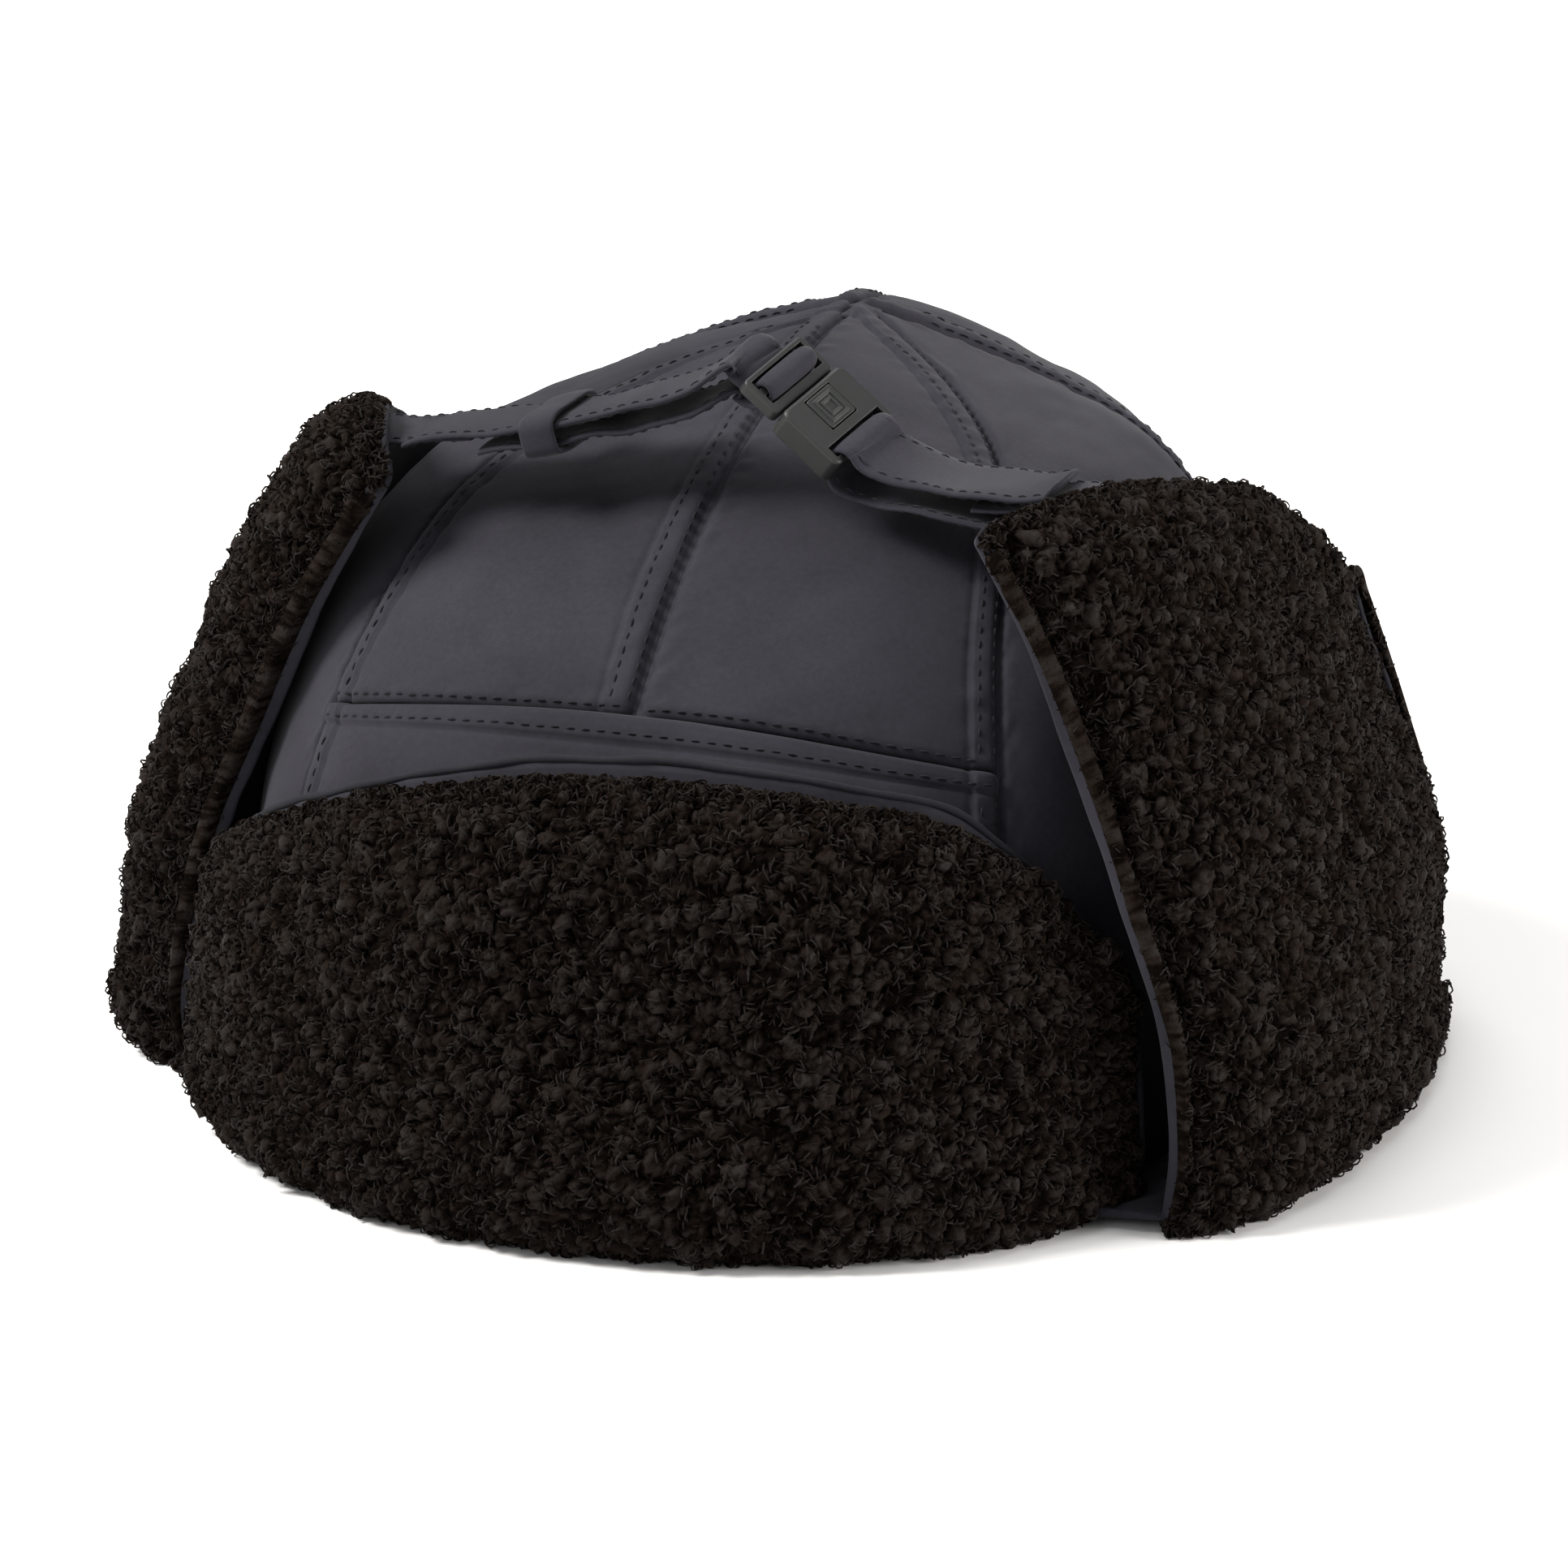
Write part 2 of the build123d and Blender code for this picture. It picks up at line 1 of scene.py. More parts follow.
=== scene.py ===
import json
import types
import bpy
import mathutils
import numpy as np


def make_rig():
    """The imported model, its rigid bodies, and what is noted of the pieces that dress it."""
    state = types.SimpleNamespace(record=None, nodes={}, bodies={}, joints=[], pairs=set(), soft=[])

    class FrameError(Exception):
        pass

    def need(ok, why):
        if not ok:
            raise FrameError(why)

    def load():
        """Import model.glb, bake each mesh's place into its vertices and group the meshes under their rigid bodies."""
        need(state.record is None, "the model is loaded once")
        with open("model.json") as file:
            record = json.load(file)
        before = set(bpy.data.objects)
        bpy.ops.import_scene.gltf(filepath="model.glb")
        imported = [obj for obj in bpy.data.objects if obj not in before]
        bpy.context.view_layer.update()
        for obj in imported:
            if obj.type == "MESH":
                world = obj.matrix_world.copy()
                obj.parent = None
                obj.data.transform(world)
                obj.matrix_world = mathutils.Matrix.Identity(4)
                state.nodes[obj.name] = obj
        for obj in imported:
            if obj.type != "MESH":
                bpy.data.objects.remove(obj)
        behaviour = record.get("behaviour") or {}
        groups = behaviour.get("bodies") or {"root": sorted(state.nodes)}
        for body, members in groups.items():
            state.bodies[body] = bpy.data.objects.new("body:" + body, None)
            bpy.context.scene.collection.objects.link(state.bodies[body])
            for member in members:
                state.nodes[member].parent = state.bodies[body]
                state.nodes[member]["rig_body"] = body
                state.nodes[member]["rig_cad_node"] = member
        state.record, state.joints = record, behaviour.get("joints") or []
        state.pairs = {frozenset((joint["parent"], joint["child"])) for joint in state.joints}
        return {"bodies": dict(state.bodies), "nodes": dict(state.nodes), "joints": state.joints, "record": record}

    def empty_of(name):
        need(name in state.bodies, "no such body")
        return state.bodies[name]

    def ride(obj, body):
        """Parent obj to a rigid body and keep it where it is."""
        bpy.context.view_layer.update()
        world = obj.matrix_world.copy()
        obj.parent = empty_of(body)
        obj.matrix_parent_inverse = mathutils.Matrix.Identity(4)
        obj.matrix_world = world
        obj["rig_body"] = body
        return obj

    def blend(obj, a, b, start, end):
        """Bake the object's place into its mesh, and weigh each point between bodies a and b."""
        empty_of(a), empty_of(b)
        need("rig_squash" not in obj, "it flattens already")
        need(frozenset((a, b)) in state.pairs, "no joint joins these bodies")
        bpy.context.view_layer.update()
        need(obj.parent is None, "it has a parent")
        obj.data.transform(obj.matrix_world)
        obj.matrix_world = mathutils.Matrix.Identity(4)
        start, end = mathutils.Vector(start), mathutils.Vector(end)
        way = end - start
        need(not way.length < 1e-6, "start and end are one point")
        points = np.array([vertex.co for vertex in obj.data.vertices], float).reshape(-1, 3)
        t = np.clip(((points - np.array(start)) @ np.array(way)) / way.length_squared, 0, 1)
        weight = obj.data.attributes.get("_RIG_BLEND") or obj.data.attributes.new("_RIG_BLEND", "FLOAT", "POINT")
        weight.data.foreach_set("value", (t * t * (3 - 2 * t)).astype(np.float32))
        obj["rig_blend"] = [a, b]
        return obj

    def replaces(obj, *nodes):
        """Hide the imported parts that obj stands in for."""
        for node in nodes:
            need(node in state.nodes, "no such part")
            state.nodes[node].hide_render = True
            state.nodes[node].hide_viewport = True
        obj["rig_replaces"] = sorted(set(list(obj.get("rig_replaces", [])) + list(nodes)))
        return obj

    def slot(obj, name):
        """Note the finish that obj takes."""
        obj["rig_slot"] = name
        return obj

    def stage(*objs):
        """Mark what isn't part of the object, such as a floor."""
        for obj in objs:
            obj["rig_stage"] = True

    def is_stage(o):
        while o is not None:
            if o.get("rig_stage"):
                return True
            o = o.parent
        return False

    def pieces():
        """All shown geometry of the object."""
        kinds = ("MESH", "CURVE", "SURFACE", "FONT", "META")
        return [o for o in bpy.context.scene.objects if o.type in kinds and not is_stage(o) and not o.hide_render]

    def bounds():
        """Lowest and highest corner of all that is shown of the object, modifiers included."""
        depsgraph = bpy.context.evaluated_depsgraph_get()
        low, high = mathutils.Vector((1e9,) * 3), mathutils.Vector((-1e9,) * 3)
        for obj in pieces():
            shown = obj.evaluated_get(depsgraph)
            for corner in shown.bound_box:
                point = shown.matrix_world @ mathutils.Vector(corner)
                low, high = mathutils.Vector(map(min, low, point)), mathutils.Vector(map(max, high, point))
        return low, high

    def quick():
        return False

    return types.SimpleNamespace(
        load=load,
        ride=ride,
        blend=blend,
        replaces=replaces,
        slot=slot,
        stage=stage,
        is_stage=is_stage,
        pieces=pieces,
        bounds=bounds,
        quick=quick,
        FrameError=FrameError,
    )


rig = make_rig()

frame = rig.load()
CAD_BOX = [list(c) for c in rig.bounds()]

import json
import math
import random
import bpy
import numpy as np
from mathutils import Vector, kdtree
from math import pi, radians

rng = np.random.default_rng(7)
random.seed(7)
MM = 0.001
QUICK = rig.quick()

# ------------------------------------------------------------------ dimensions shared with the model (mm)
A, B, H, YA, N = 98.0, 113.0, 138.0, 48.0, 2.15
DIP = 13.7
Z0 = 1.6
FRONT_BAND_Z = 89.0


def spow(v, p):
    return np.sign(v) * np.abs(v) ** p


def table(x, xs, ys):
    xs, ys = np.asarray(xs, float), np.asarray(ys, float)
    x = np.clip(np.asarray(x, float), xs[0], xs[-1])
    n = len(xs)
    m = np.array([(ys[min(k + 1, n - 1)] - ys[max(k - 1, 0)]) / (xs[min(k + 1, n - 1)] - xs[max(k - 1, 0)]) for k in range(n)])
    i = np.clip(np.searchsorted(xs, x, side="right") - 1, 0, n - 2)
    h = xs[i + 1] - xs[i]
    t = (x - xs[i]) / h
    return ((2 * t ** 3 - 3 * t ** 2 + 1) * ys[i] + (t ** 3 - 2 * t ** 2 + t) * h * m[i]
            + (-2 * t ** 3 + 3 * t ** 2) * ys[i + 1] + (t ** 3 - t ** 2) * h * m[i + 1])


def smooth(a, b, x):
    t = np.clip((x - a) / (b - a), 0, 1)
    return t * t * (3 - 2 * t)


def rim(psi, off=0.0):
    s, c = np.sin(psi), np.cos(psi)
    return (A + off) * spow(s, 2 / N), -(B + off) * spow(c, 2 / N)


def crown(psi, w, off=0.0):
    psi, w = np.broadcast_arrays(np.asarray(psi, float), np.asarray(w, float))
    s, c = np.sin(psi), np.cos(psi)
    p = 2.05 + 0.75 * s * s + np.where(c < 0, 0.25 * c ** 2, 0.0)
    h = np.maximum(0.0, 1 - np.abs(w) ** p) ** (1 / p)
    rx, ry = rim(psi, off)
    z = (H + off) * h - DIP * (1 - w * w) ** 2 * np.abs(s) * np.minimum(1.0, w / 0.5)
    return np.stack([w * rx, YA + w * (ry - YA), z], -1)


def w_at_z(psi, z, off=0.0):
    psi = np.asarray(psi, float)
    a, b = np.full(psi.shape, 0.02), np.ones(psi.shape)
    for _ in range(40):
        m = 0.5 * (a + b)
        hi = crown(psi, m, off)[..., 2] > z
        a, b = np.where(hi, m, a), np.where(hi, b, m)
    return 0.5 * (a + b)


def seam_front(w):
    return np.radians(table(w, [0, .45, .65, .8, 1], [80, 68, 58, 51, 47]))


def seam_rear(w):
    return np.radians(table(w, [0, .5, 1], [118, 116, 114]))


def band_z(psi):
    return FRONT_BAND_Z - 9.0 * (np.abs(np.degrees(psi)) / 50.0) ** 2


def wave(p, scale, seed, octaves=6):
    """smooth random field over points, about -1..1; scale is the wavelength in mm"""
    r = np.random.default_rng(seed)
    out = np.zeros(p.shape[:-1])
    for _ in range(octaves):
        d = r.normal(size=3)
        d /= np.linalg.norm(d)
        out += np.sin(p @ d * (2 * pi / (scale * r.uniform(0.7, 1.4))) + r.uniform(0, 2 * pi))
    return out / math.sqrt(octaves * 0.5) / 1.6


# ------------------------------------------------------------------ mesh helpers
def grid_faces(m, n, flip=False):
    j, i = np.meshgrid(np.arange(m - 1), np.arange(n - 1), indexing="ij")
    a = (j * n + i).ravel()
    f = np.stack([a, a + 1, a + n + 1, a + n], -1)
    return f[:, ::-1] if flip else f


def grid_normals(P):
    du = np.gradient(P, axis=1)
    dv = np.gradient(P, axis=0)
    n = np.cross(du, dv)
    return n / np.maximum(np.linalg.norm(n, axis=-1, keepdims=True), 1e-9)


def make(name, verts, faces, uvs=None, smooth_shade=True, attrs=None):
    me = bpy.data.meshes.new(name)
    v = np.ascontiguousarray(np.asarray(verts, float).reshape(-1, 3) * MM, dtype=np.float32)
    f = np.asarray(faces, np.int32)
    me.vertices.add(len(v))
    me.vertices.foreach_set("co", v.ravel())
    k = f.shape[1]
    me.loops.add(f.size)
    me.loops.foreach_set("vertex_index", f.ravel())
    me.polygons.add(len(f))
    me.polygons.foreach_set("loop_start", np.arange(0, f.size, k, dtype=np.int32))
    me.update(calc_edges=True)
    if smooth_shade:
        me.polygons.foreach_set("use_smooth", np.ones(len(f), bool))
    if uvs is not None:
        lay = me.uv_layers.new(name="UVMap")
        lay.data.foreach_set("uv", np.asarray(uvs, np.float32).reshape(-1, 2)[f.ravel()].ravel())
    for key, val in (attrs or {}).items():
        at = me.attributes.new(key, "FLOAT", "POINT")
        at.data.foreach_set("value", np.asarray(val, np.float32).ravel())
    me.validate()
    ob = bpy.data.objects.new(name, me)
    bpy.context.scene.collection.objects.link(ob)
    return ob


def closed_slab(name, top, bot, uvs=None, attrs=None):
    """two grids of the same layout joined along their border; top's normal faces out"""
    m, n = top.shape[:2]
    V = np.concatenate([top.reshape(-1, 3), bot.reshape(-1, 3)])
    K = m * n
    F = [grid_faces(m, n), grid_faces(m, n, True) + K]
    j = np.arange(m - 1)
    i = np.arange(n - 1)
    F.append(np.stack([j * n, (j + 1) * n, (j + 1) * n + K, j * n + K], -1))
    e = n - 1
    F.append(np.stack([j * n + e, j * n + e + K, (j + 1) * n + e + K, (j + 1) * n + e], -1))
    F.append(np.stack([i, i + K, i + 1 + K, i + 1], -1))
    b = (m - 1) * n
    F.append(np.stack([b + i, b + i + 1, b + i + 1 + K, b + i + K], -1))
    uv = None if uvs is None else np.concatenate([uvs.reshape(-1, 2)] * 2)
    at = {k: np.concatenate([np.ravel(v)] * 2) for k, v in (attrs or {}).items()}
    return make(name, V, np.concatenate(F), uv, attrs=at)


def tube(path, radius, sides=8, closed=False):
    """verts and faces of a tube along a path (mm)"""
    P = np.asarray(path, float)
    n = len(P)
    T = np.gradient(P, axis=0)
    T /= np.maximum(np.linalg.norm(T, axis=1, keepdims=True), 1e-9)
    up = np.array([0.0, 0.0, 1.0])
    side = np.cross(T, up)
    bad = np.linalg.norm(side, axis=1) < 0.2
    side[bad] = np.cross(T[bad], [1.0, 0, 0])
    side /= np.linalg.norm(side, axis=1, keepdims=True)
    nor = np.cross(side, T)
    r = np.broadcast_to(np.asarray(radius, float), (n,))
    a = np.arange(sides) * 2 * pi / sides
    V = P[:, None] + r[:, None, None] * (np.cos(a)[None, :, None] * side[:, None] + np.sin(a)[None, :, None] * nor[:, None])
    j, i = np.meshgrid(np.arange(n - 1), np.arange(sides), indexing="ij")
    i2 = (i + 1) % sides
    F = np.stack([j * sides + i, j * sides + i2, (j + 1) * sides + i2, (j + 1) * sides + i], -1).reshape(-1, 4)
    return V.reshape(-1, 3), F


# ------------------------------------------------------------------ materials
def mat_base(name):
    m = bpy.data.materials.new(name)
    m.use_nodes = True
    nt = m.node_tree
    b = nt.nodes["Principled BSDF"]
    return m, nt, b


def nd(nt, kind, **kw):
    n = nt.nodes.new(kind)
    for k, v in kw.items():
        if k in n.inputs.keys() if hasattr(n, "inputs") else False:
            n.inputs[k].default_value = v
        else:
            setattr(n, k, v)
    return n


def fabric(name, dark, light, weave=0.42, rough=0.82, sheen=0.25, bump=0.12):
    """fine plain-weave shell cloth with slubs and slightly uneven dye"""
    m, nt, b = mat_base(name)
    L = nt.links.new
    uv = nt.nodes.new("ShaderNodeUVMap")
    tc = nt.nodes.new("ShaderNodeTexCoord")
    sep = nt.nodes.new("ShaderNodeSeparateXYZ")
    L(uv.outputs[0], sep.inputs[0])

    def sine(sock):
        k = nd(nt, "ShaderNodeMath", operation="MULTIPLY"); k.inputs[1].default_value = 2 * pi / weave
        L(sock, k.inputs[0])
        s = nd(nt, "ShaderNodeMath", operation="SINE")
        L(k.outputs[0], s.inputs[0])
        return s.outputs[0]
    sx, sy = sine(sep.outputs[0]), sine(sep.outputs[1])
    mul = nd(nt, "ShaderNodeMath", operation="MULTIPLY"); L(sx, mul.inputs[0]); L(sy, mul.inputs[1])
    slub = nd(nt, "ShaderNodeTexNoise"); slub.inputs["Scale"].default_value = 900; slub.inputs["Detail"].default_value = 3
    L(tc.outputs["Object"], slub.inputs["Vector"])
    big = nd(nt, "ShaderNodeTexNoise"); big.inputs["Scale"].default_value = 38; big.inputs["Detail"].default_value = 5
    L(tc.outputs["Object"], big.inputs["Vector"])
    mixf = nd(nt, "ShaderNodeMath", operation="MULTIPLY_ADD"); mixf.inputs[1].default_value = 0.5
    L(slub.outputs[0], mixf.inputs[0]); L(big.outputs[0], mixf.inputs[2])
    ramp = nt.nodes.new("ShaderNodeValToRGB")
    ramp.color_ramp.elements[0].position = 0.45; ramp.color_ramp.elements[0].color = (*dark, 1)
    ramp.color_ramp.elements[1].position = 1.05; ramp.color_ramp.elements[1].color = (*light, 1)
    L(mixf.outputs[0], ramp.inputs[0])
    L(ramp.outputs[0], b.inputs["Base Color"])
    b.inputs["Roughness"].default_value = rough
    b.inputs["Sheen Weight"].default_value = sheen
    b.inputs["Sheen Roughness"].default_value = 0.45
    b.inputs["Specular IOR Level"].default_value = 0.14
    add = nd(nt, "ShaderNodeMath", operation="MULTIPLY_ADD"); add.inputs[1].default_value = 0.6
    L(mul.outputs[0], add.inputs[0]); L(slub.outputs[0], add.inputs[2])
    bp = nt.nodes.new("ShaderNodeBump"); bp.inputs["Strength"].default_value = bump; bp.inputs["Distance"].default_value = 0.0004
    L(add.outputs[0], bp.inputs["Height"]); L(bp.outputs[0], b.inputs["Normal"])
    return m


def pile(name):
    """curly pile: dark brown, with painted shade between the curls and painted highlight on their tips, and fibre-scale
    bump
    """
    m, nt, b = mat_base(name)
    L = nt.links.new
    tc = nt.nodes.new("ShaderNodeTexCoord")
    at = nt.nodes.new("ShaderNodeAttribute"); at.attribute_name = "curl"
    fib = nd(nt, "ShaderNodeTexNoise"); fib.inputs["Scale"].default_value = 850; fib.inputs["Detail"].default_value = 5; fib.inputs["Roughness"].default_value = 0.62; fib.inputs["Distortion"].default_value = 2.2
    mot = nd(nt, "ShaderNodeTexNoise"); mot.inputs["Scale"].default_value = 120; mot.inputs["Detail"].default_value = 3
    L(tc.outputs["Object"], fib.inputs["Vector"]); L(tc.outputs["Object"], mot.inputs["Vector"])
    s1 = nd(nt, "ShaderNodeMath", operation="MULTIPLY_ADD"); s1.inputs[1].default_value = 0.35
    L(fib.outputs[0], s1.inputs[0]); L(at.outputs["Fac"], s1.inputs[2])
    s2 = nd(nt, "ShaderNodeMath", operation="MULTIPLY_ADD"); s2.inputs[1].default_value = 0.35
    L(mot.outputs[0], s2.inputs[0]); L(s1.outputs[0], s2.inputs[2])
    # the curl attribute sets this colour: on the curly sheet it is curl height, so the near-black low end is painted
    # shade between the curls and the warm high end is painted highlight on their tips; on the fibres it is a random
    # tone per fibre, and the noise adds random tone
    ramp = nt.nodes.new("ShaderNodeValToRGB")
    e = ramp.color_ramp.elements
    e[0].position = 0.25; e[0].color = (0.0006, 0.0004, 0.00035, 1)
    e[1].position = 1.25; e[1].color = (0.0125, 0.0085, 0.0065, 1)
    k = e.new(0.75); k.color = (0.0040, 0.0028, 0.0022, 1)
    L(s2.outputs[0], ramp.inputs[0])
    L(ramp.outputs[0], b.inputs["Base Color"])
    b.inputs["Roughness"].default_value = 0.72
    glint = nd(nt, "ShaderNodeMapRange"); glint.inputs[1].default_value = 0.75; glint.inputs[2].default_value = 1.35; glint.inputs[3].default_value = 0.0; glint.inputs[4].default_value = 0.22
    L(s1.outputs[0], glint.inputs[0]); L(glint.outputs[0], b.inputs["Specular IOR Level"])
    b.inputs["Sheen Weight"].default_value = 0.012
    b.inputs["Sheen Roughness"].default_value = 0.5
    b.inputs["Sheen Tint"].default_value = (0.75, 0.6, 0.5, 1)
    bp = nt.nodes.new("ShaderNodeBump"); bp.inputs["Strength"].default_value = 0.9; bp.inputs["Distance"].default_value = 0.0011
    L(fib.outputs[0], bp.inputs["Height"]); L(bp.outputs[0], b.inputs["Normal"])
    return m


def plastic(name, col):
    """moulded matt plastic with fine spark texture and paler colour along its edges"""
    m, nt, b = mat_base(name)
    L = nt.links.new
    tc = nt.nodes.new("ShaderNodeTexCoord")
    n1 = nd(nt, "ShaderNodeTexNoise"); n1.inputs["Scale"].default_value = 2600; n1.inputs["Detail"].default_value = 2
    L(tc.outputs["Object"], n1.inputs["Vector"])
    n2 = nd(nt, "ShaderNodeTexNoise"); n2.inputs["Scale"].default_value = 260; n2.inputs["Detail"].default_value = 4
    L(tc.outputs["Object"], n2.inputs["Vector"])
    bev = nt.nodes.new("ShaderNodeBevel"); bev.inputs["Radius"].default_value = 0.00035; bev.samples = 6
    geo = nt.nodes.new("ShaderNodeNewGeometry")
    dot = nd(nt, "ShaderNodeVectorMath", operation="DOT_PRODUCT")
    L(bev.outputs[0], dot.inputs[0]); L(geo.outputs["Normal"], dot.inputs[1])
    edge = nd(nt, "ShaderNodeMapRange"); edge.inputs[1].default_value = 0.995; edge.inputs[2].default_value = 0.9
    L(dot.outputs["Value"], edge.inputs[0])
    ramp = nt.nodes.new("ShaderNodeValToRGB")
    ramp.color_ramp.elements[0].color = (*[c * 0.75 for c in col], 1)
    ramp.color_ramp.elements[1].color = (*[c * 1.25 for c in col], 1)
    L(n2.outputs[0], ramp.inputs[0])
    mx = nt.nodes.new("ShaderNodeMixRGB"); mx.inputs[2].default_value = (*[min(1, c * 3.2) for c in col], 1)
    L(edge.outputs[0], mx.inputs[0]); L(ramp.outputs[0], mx.inputs[1])
    L(mx.outputs[0], b.inputs["Base Color"])
    b.inputs["Roughness"].default_value = 0.5
    bp = nt.nodes.new("ShaderNodeBump"); bp.inputs["Strength"].default_value = 0.15; bp.inputs["Distance"].default_value = 0.0002
    L(n1.outputs[0], bp.inputs["Height"]); L(bev.outputs[0], bp.inputs["Normal"]); L(bp.outputs[0], b.inputs["Normal"])
    return m


M_SHELL = fabric("shell cloth", (0.0135, 0.0129, 0.0175), (0.0255, 0.0245, 0.0320), sheen=0.05)
M_SHELL2 = fabric("strap cloth", (0.011, 0.0105, 0.0155), (0.022, 0.021, 0.029), bump=0.16, sheen=0.10)
M_THREAD = fabric("thread", (0.007, 0.007, 0.010), (0.014, 0.0135, 0.018), weave=0.2, bump=0.3, sheen=0.05)
M_EDGE = fabric("turned edge", (0.007, 0.0068, 0.0095), (0.014, 0.0135, 0.018), sheen=0.02)
M_BAND = fabric("sweatband cloth", (0.022, 0.022, 0.028), (0.04, 0.04, 0.048), weave=1.1, bump=0.35)
M_PILE = pile("curly pile")
M_PLASTIC = plastic("buckle plastic", (0.010, 0.0112, 0.0105))


def dress(ob, mat, slot):
    ob.data.materials.clear()
    ob.data.materials.append(mat)
    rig.slot(ob, slot)
    return ob


# ------------------------------------------------------------------ crown panels
STITCH = []      # (position, direction, normal) of every stitch on the crown
f_, r_ = seam_front, seam_rear


def edge_cols(W, zone=8.0, ne=13, nm=26):
    """column positions 0..1 for a row of width W, crowded within `zone` mm of both sides"""
    z = min(zone, W * 0.35) / W
    a = np.linspace(0, z, ne, endpoint=False)
    m = np.linspace(z, 1 - z, nm)
    return np.concatenate([a, m, 1 - a[::-1]])


def panel(name, psi0, psi1, w_lo, w_hi, seed, fold0=0, fold1=0, lo_fold=0, top_fold=0, rows=150):
    """fold0/fold1: 1 where this panel carries the raised, topstitched fold beside that seam"""
    tl = np.concatenate([np.linspace(0, 0.075, 14, endpoint=False), np.linspace(0.075, 0.9, rows), np.linspace(0.9, 1, 16)[1:]])
    grid_s, P0, P1 = [], [], []

    def place(s, t):
        w = 1.0 - 0.9 * t
        for _ in range(8):
            psi = psi0(w) + (psi1(w) - psi0(w)) * s
            a, b = np.arccos(np.minimum(1, w_lo(psi))), np.arccos(w_hi(psi))
            w = np.cos(a + (b - a) * t)
        return psi, w
    # widths of the rows
    ss = np.linspace(0, 1, 25)
    S25, T25 = np.meshgrid(ss, tl)
    p, w = place(S25, T25)
    Q = crown(p, w)
    Wd = np.linalg.norm(np.diff(Q, axis=1), axis=-1).sum(1)
    S = np.stack([edge_cols(x) for x in Wd])
    T = np.repeat(tl[:, None], S.shape[1], 1)
    psi, w = place(S, T)
    P = crown(psi, w)
    n = S.shape[1]
    Nn = grid_normals(P)
    if (Nn[len(tl) // 2, n // 2] @ (P[len(tl) // 2, n // 2] - np.array([0, 20, 30]))) < 0:
        Nn = -Nn
        flip = True
    else:
        flip = False
    Nn[0] = Nn[1]; Nn[-1] = Nn[-2]
    d0, d1 = S * Wd[:, None], (1 - S) * Wd[:, None]
    seg = np.linalg.norm(np.diff(P[:, n // 2], axis=0), axis=1)
    Ln = np.concatenate([[0], np.cumsum(seg)])
    lo, hi = np.repeat(Ln[:, None], n, 1), Ln[-1] - np.repeat(Ln[:, None], n, 1)
    D = np.zeros(S.shape)
    puff = (1 - np.exp(-d0 / 9)) * (1 - np.exp(-d1 / 9))
    D += 1.0 * puff
    fade = smooth(0, 12, hi)
    # folds and slack of the cloth
    D += fade * puff * (0.9 * wave(P, 62, seed) + 0.35 * wave(P * [1, 1, 0.5], 24, seed + 50) + 0.10 * wave(P, 9, seed + 90))
    for d, fold in ((d0, fold0), (d1, fold1)):
        D -= (1.5 if fold else 1.9) * np.exp(-(d / 0.95) ** 2)                       # valley of the seam
        pk = 0.22 * wave(P, 5.2, seed + 7)
        if fold:
            D += 0.75 * smooth(0.2, 1.2, d) * (1 - smooth(5.3, 6.1, d))
            D -= 0.30 * np.exp(-((d - 6.2) / 0.7) ** 2)
            D -= 0.22 * (np.exp(-((d - 1.3) / 0.5) ** 2) + np.exp(-((d - 4.6) / 0.5) ** 2))
            D += pk * np.exp(-((d - 4.6) / 3.0) ** 2)
        else:
            D += pk * np.exp(-((d - 2.0) / 2.4) ** 2)
    if lo_fold:       # seam with the band below
        D -= 1.2 * np.exp(-(lo / 0.8) ** 2)
        D -= 0.20 * np.exp(-((lo - 1.2) / 0.5) ** 2)
        D += 0.2 * wave(P, 6, seed + 3) * np.exp(-((lo - 2) / 3) ** 2)
    if top_fold:      # raised fold along the top of the band
        D -= 1.2 * np.exp(-(hi / 0.8) ** 2)
        D += 0.70 * smooth(0.2, 1.2, hi) * (1 - smooth(5.6, 6.4, hi))
        D -= 0.30 * np.exp(-((hi - 6.5) / 0.7) ** 2)
        D -= 0.22 * np.exp(-((hi - 4.9) / 0.5) ** 2)
        D += 0.2 * wave(P, 6, seed + 4) * np.exp(-((hi - 4) / 3) ** 2)
    V = P + Nn * D[..., None]
    U = np.stack([d0 - Wd[:, None] / 2, lo], -1)
    top = V if not flip else V
    bot = P - Nn * 1.3
    if flip:
        top, bot, U = top[:, ::-1], bot[:, ::-1], U[:, ::-1]
    ob = closed_slab(name, top, bot, U)
    dress(ob, M_SHELL, "shell_fabric")

    # stitches follow the finished surface
    def rows_at(d_target, from0, a, b):
        pts = []
        for j in range(len(tl)):
            if Ln[j] < a or Ln[-1] - Ln[j] < b or Wd[j] < 14:
                continue
            d = d0[j] if from0 else d1[j]
            k = int(np.argmin(np.abs(d - d_target)))
            pts.append((V[j, k], Nn[j, k]))
        return pts

    def emit(pts, pitch=3.1, length=2.2):
        if len(pts) < 4:
            return
        X = np.array([q[0] for q in pts]); Y = np.array([q[1] for q in pts])
        L = np.concatenate([[0], np.cumsum(np.linalg.norm(np.diff(X, axis=0), axis=1))])
        for s0 in np.arange(0.6, L[-1] - pitch, pitch):
            a = np.array([np.interp(s0, L, X[:, c]) for c in range(3)])
            b = np.array([np.interp(s0 + length, L, X[:, c]) for c in range(3)])
            q = np.array([np.interp(s0 + length / 2, L, Y[:, c]) for c in range(3)])
            STITCH.append((a, b, q))
    for from0, fold in ((True, fold0), (False, fold1)):
        if fold:
            emit(rows_at(1.3, from0, 2, 6))
            emit(rows_at(4.6, from0, 2, 6))
    if lo_fold:
        j = int(np.argmin(np.abs(Ln - 1.2)))
        emit([(V[j, k], Nn[j, k]) for k in range(2, n - 2)])
    if top_fold:
        j = int(np.argmin(np.abs((Ln[-1] - Ln) - 4.9)))
        emit([(V[j, k], Nn[j, k]) for k in range(2, n - 2)])
    return ob


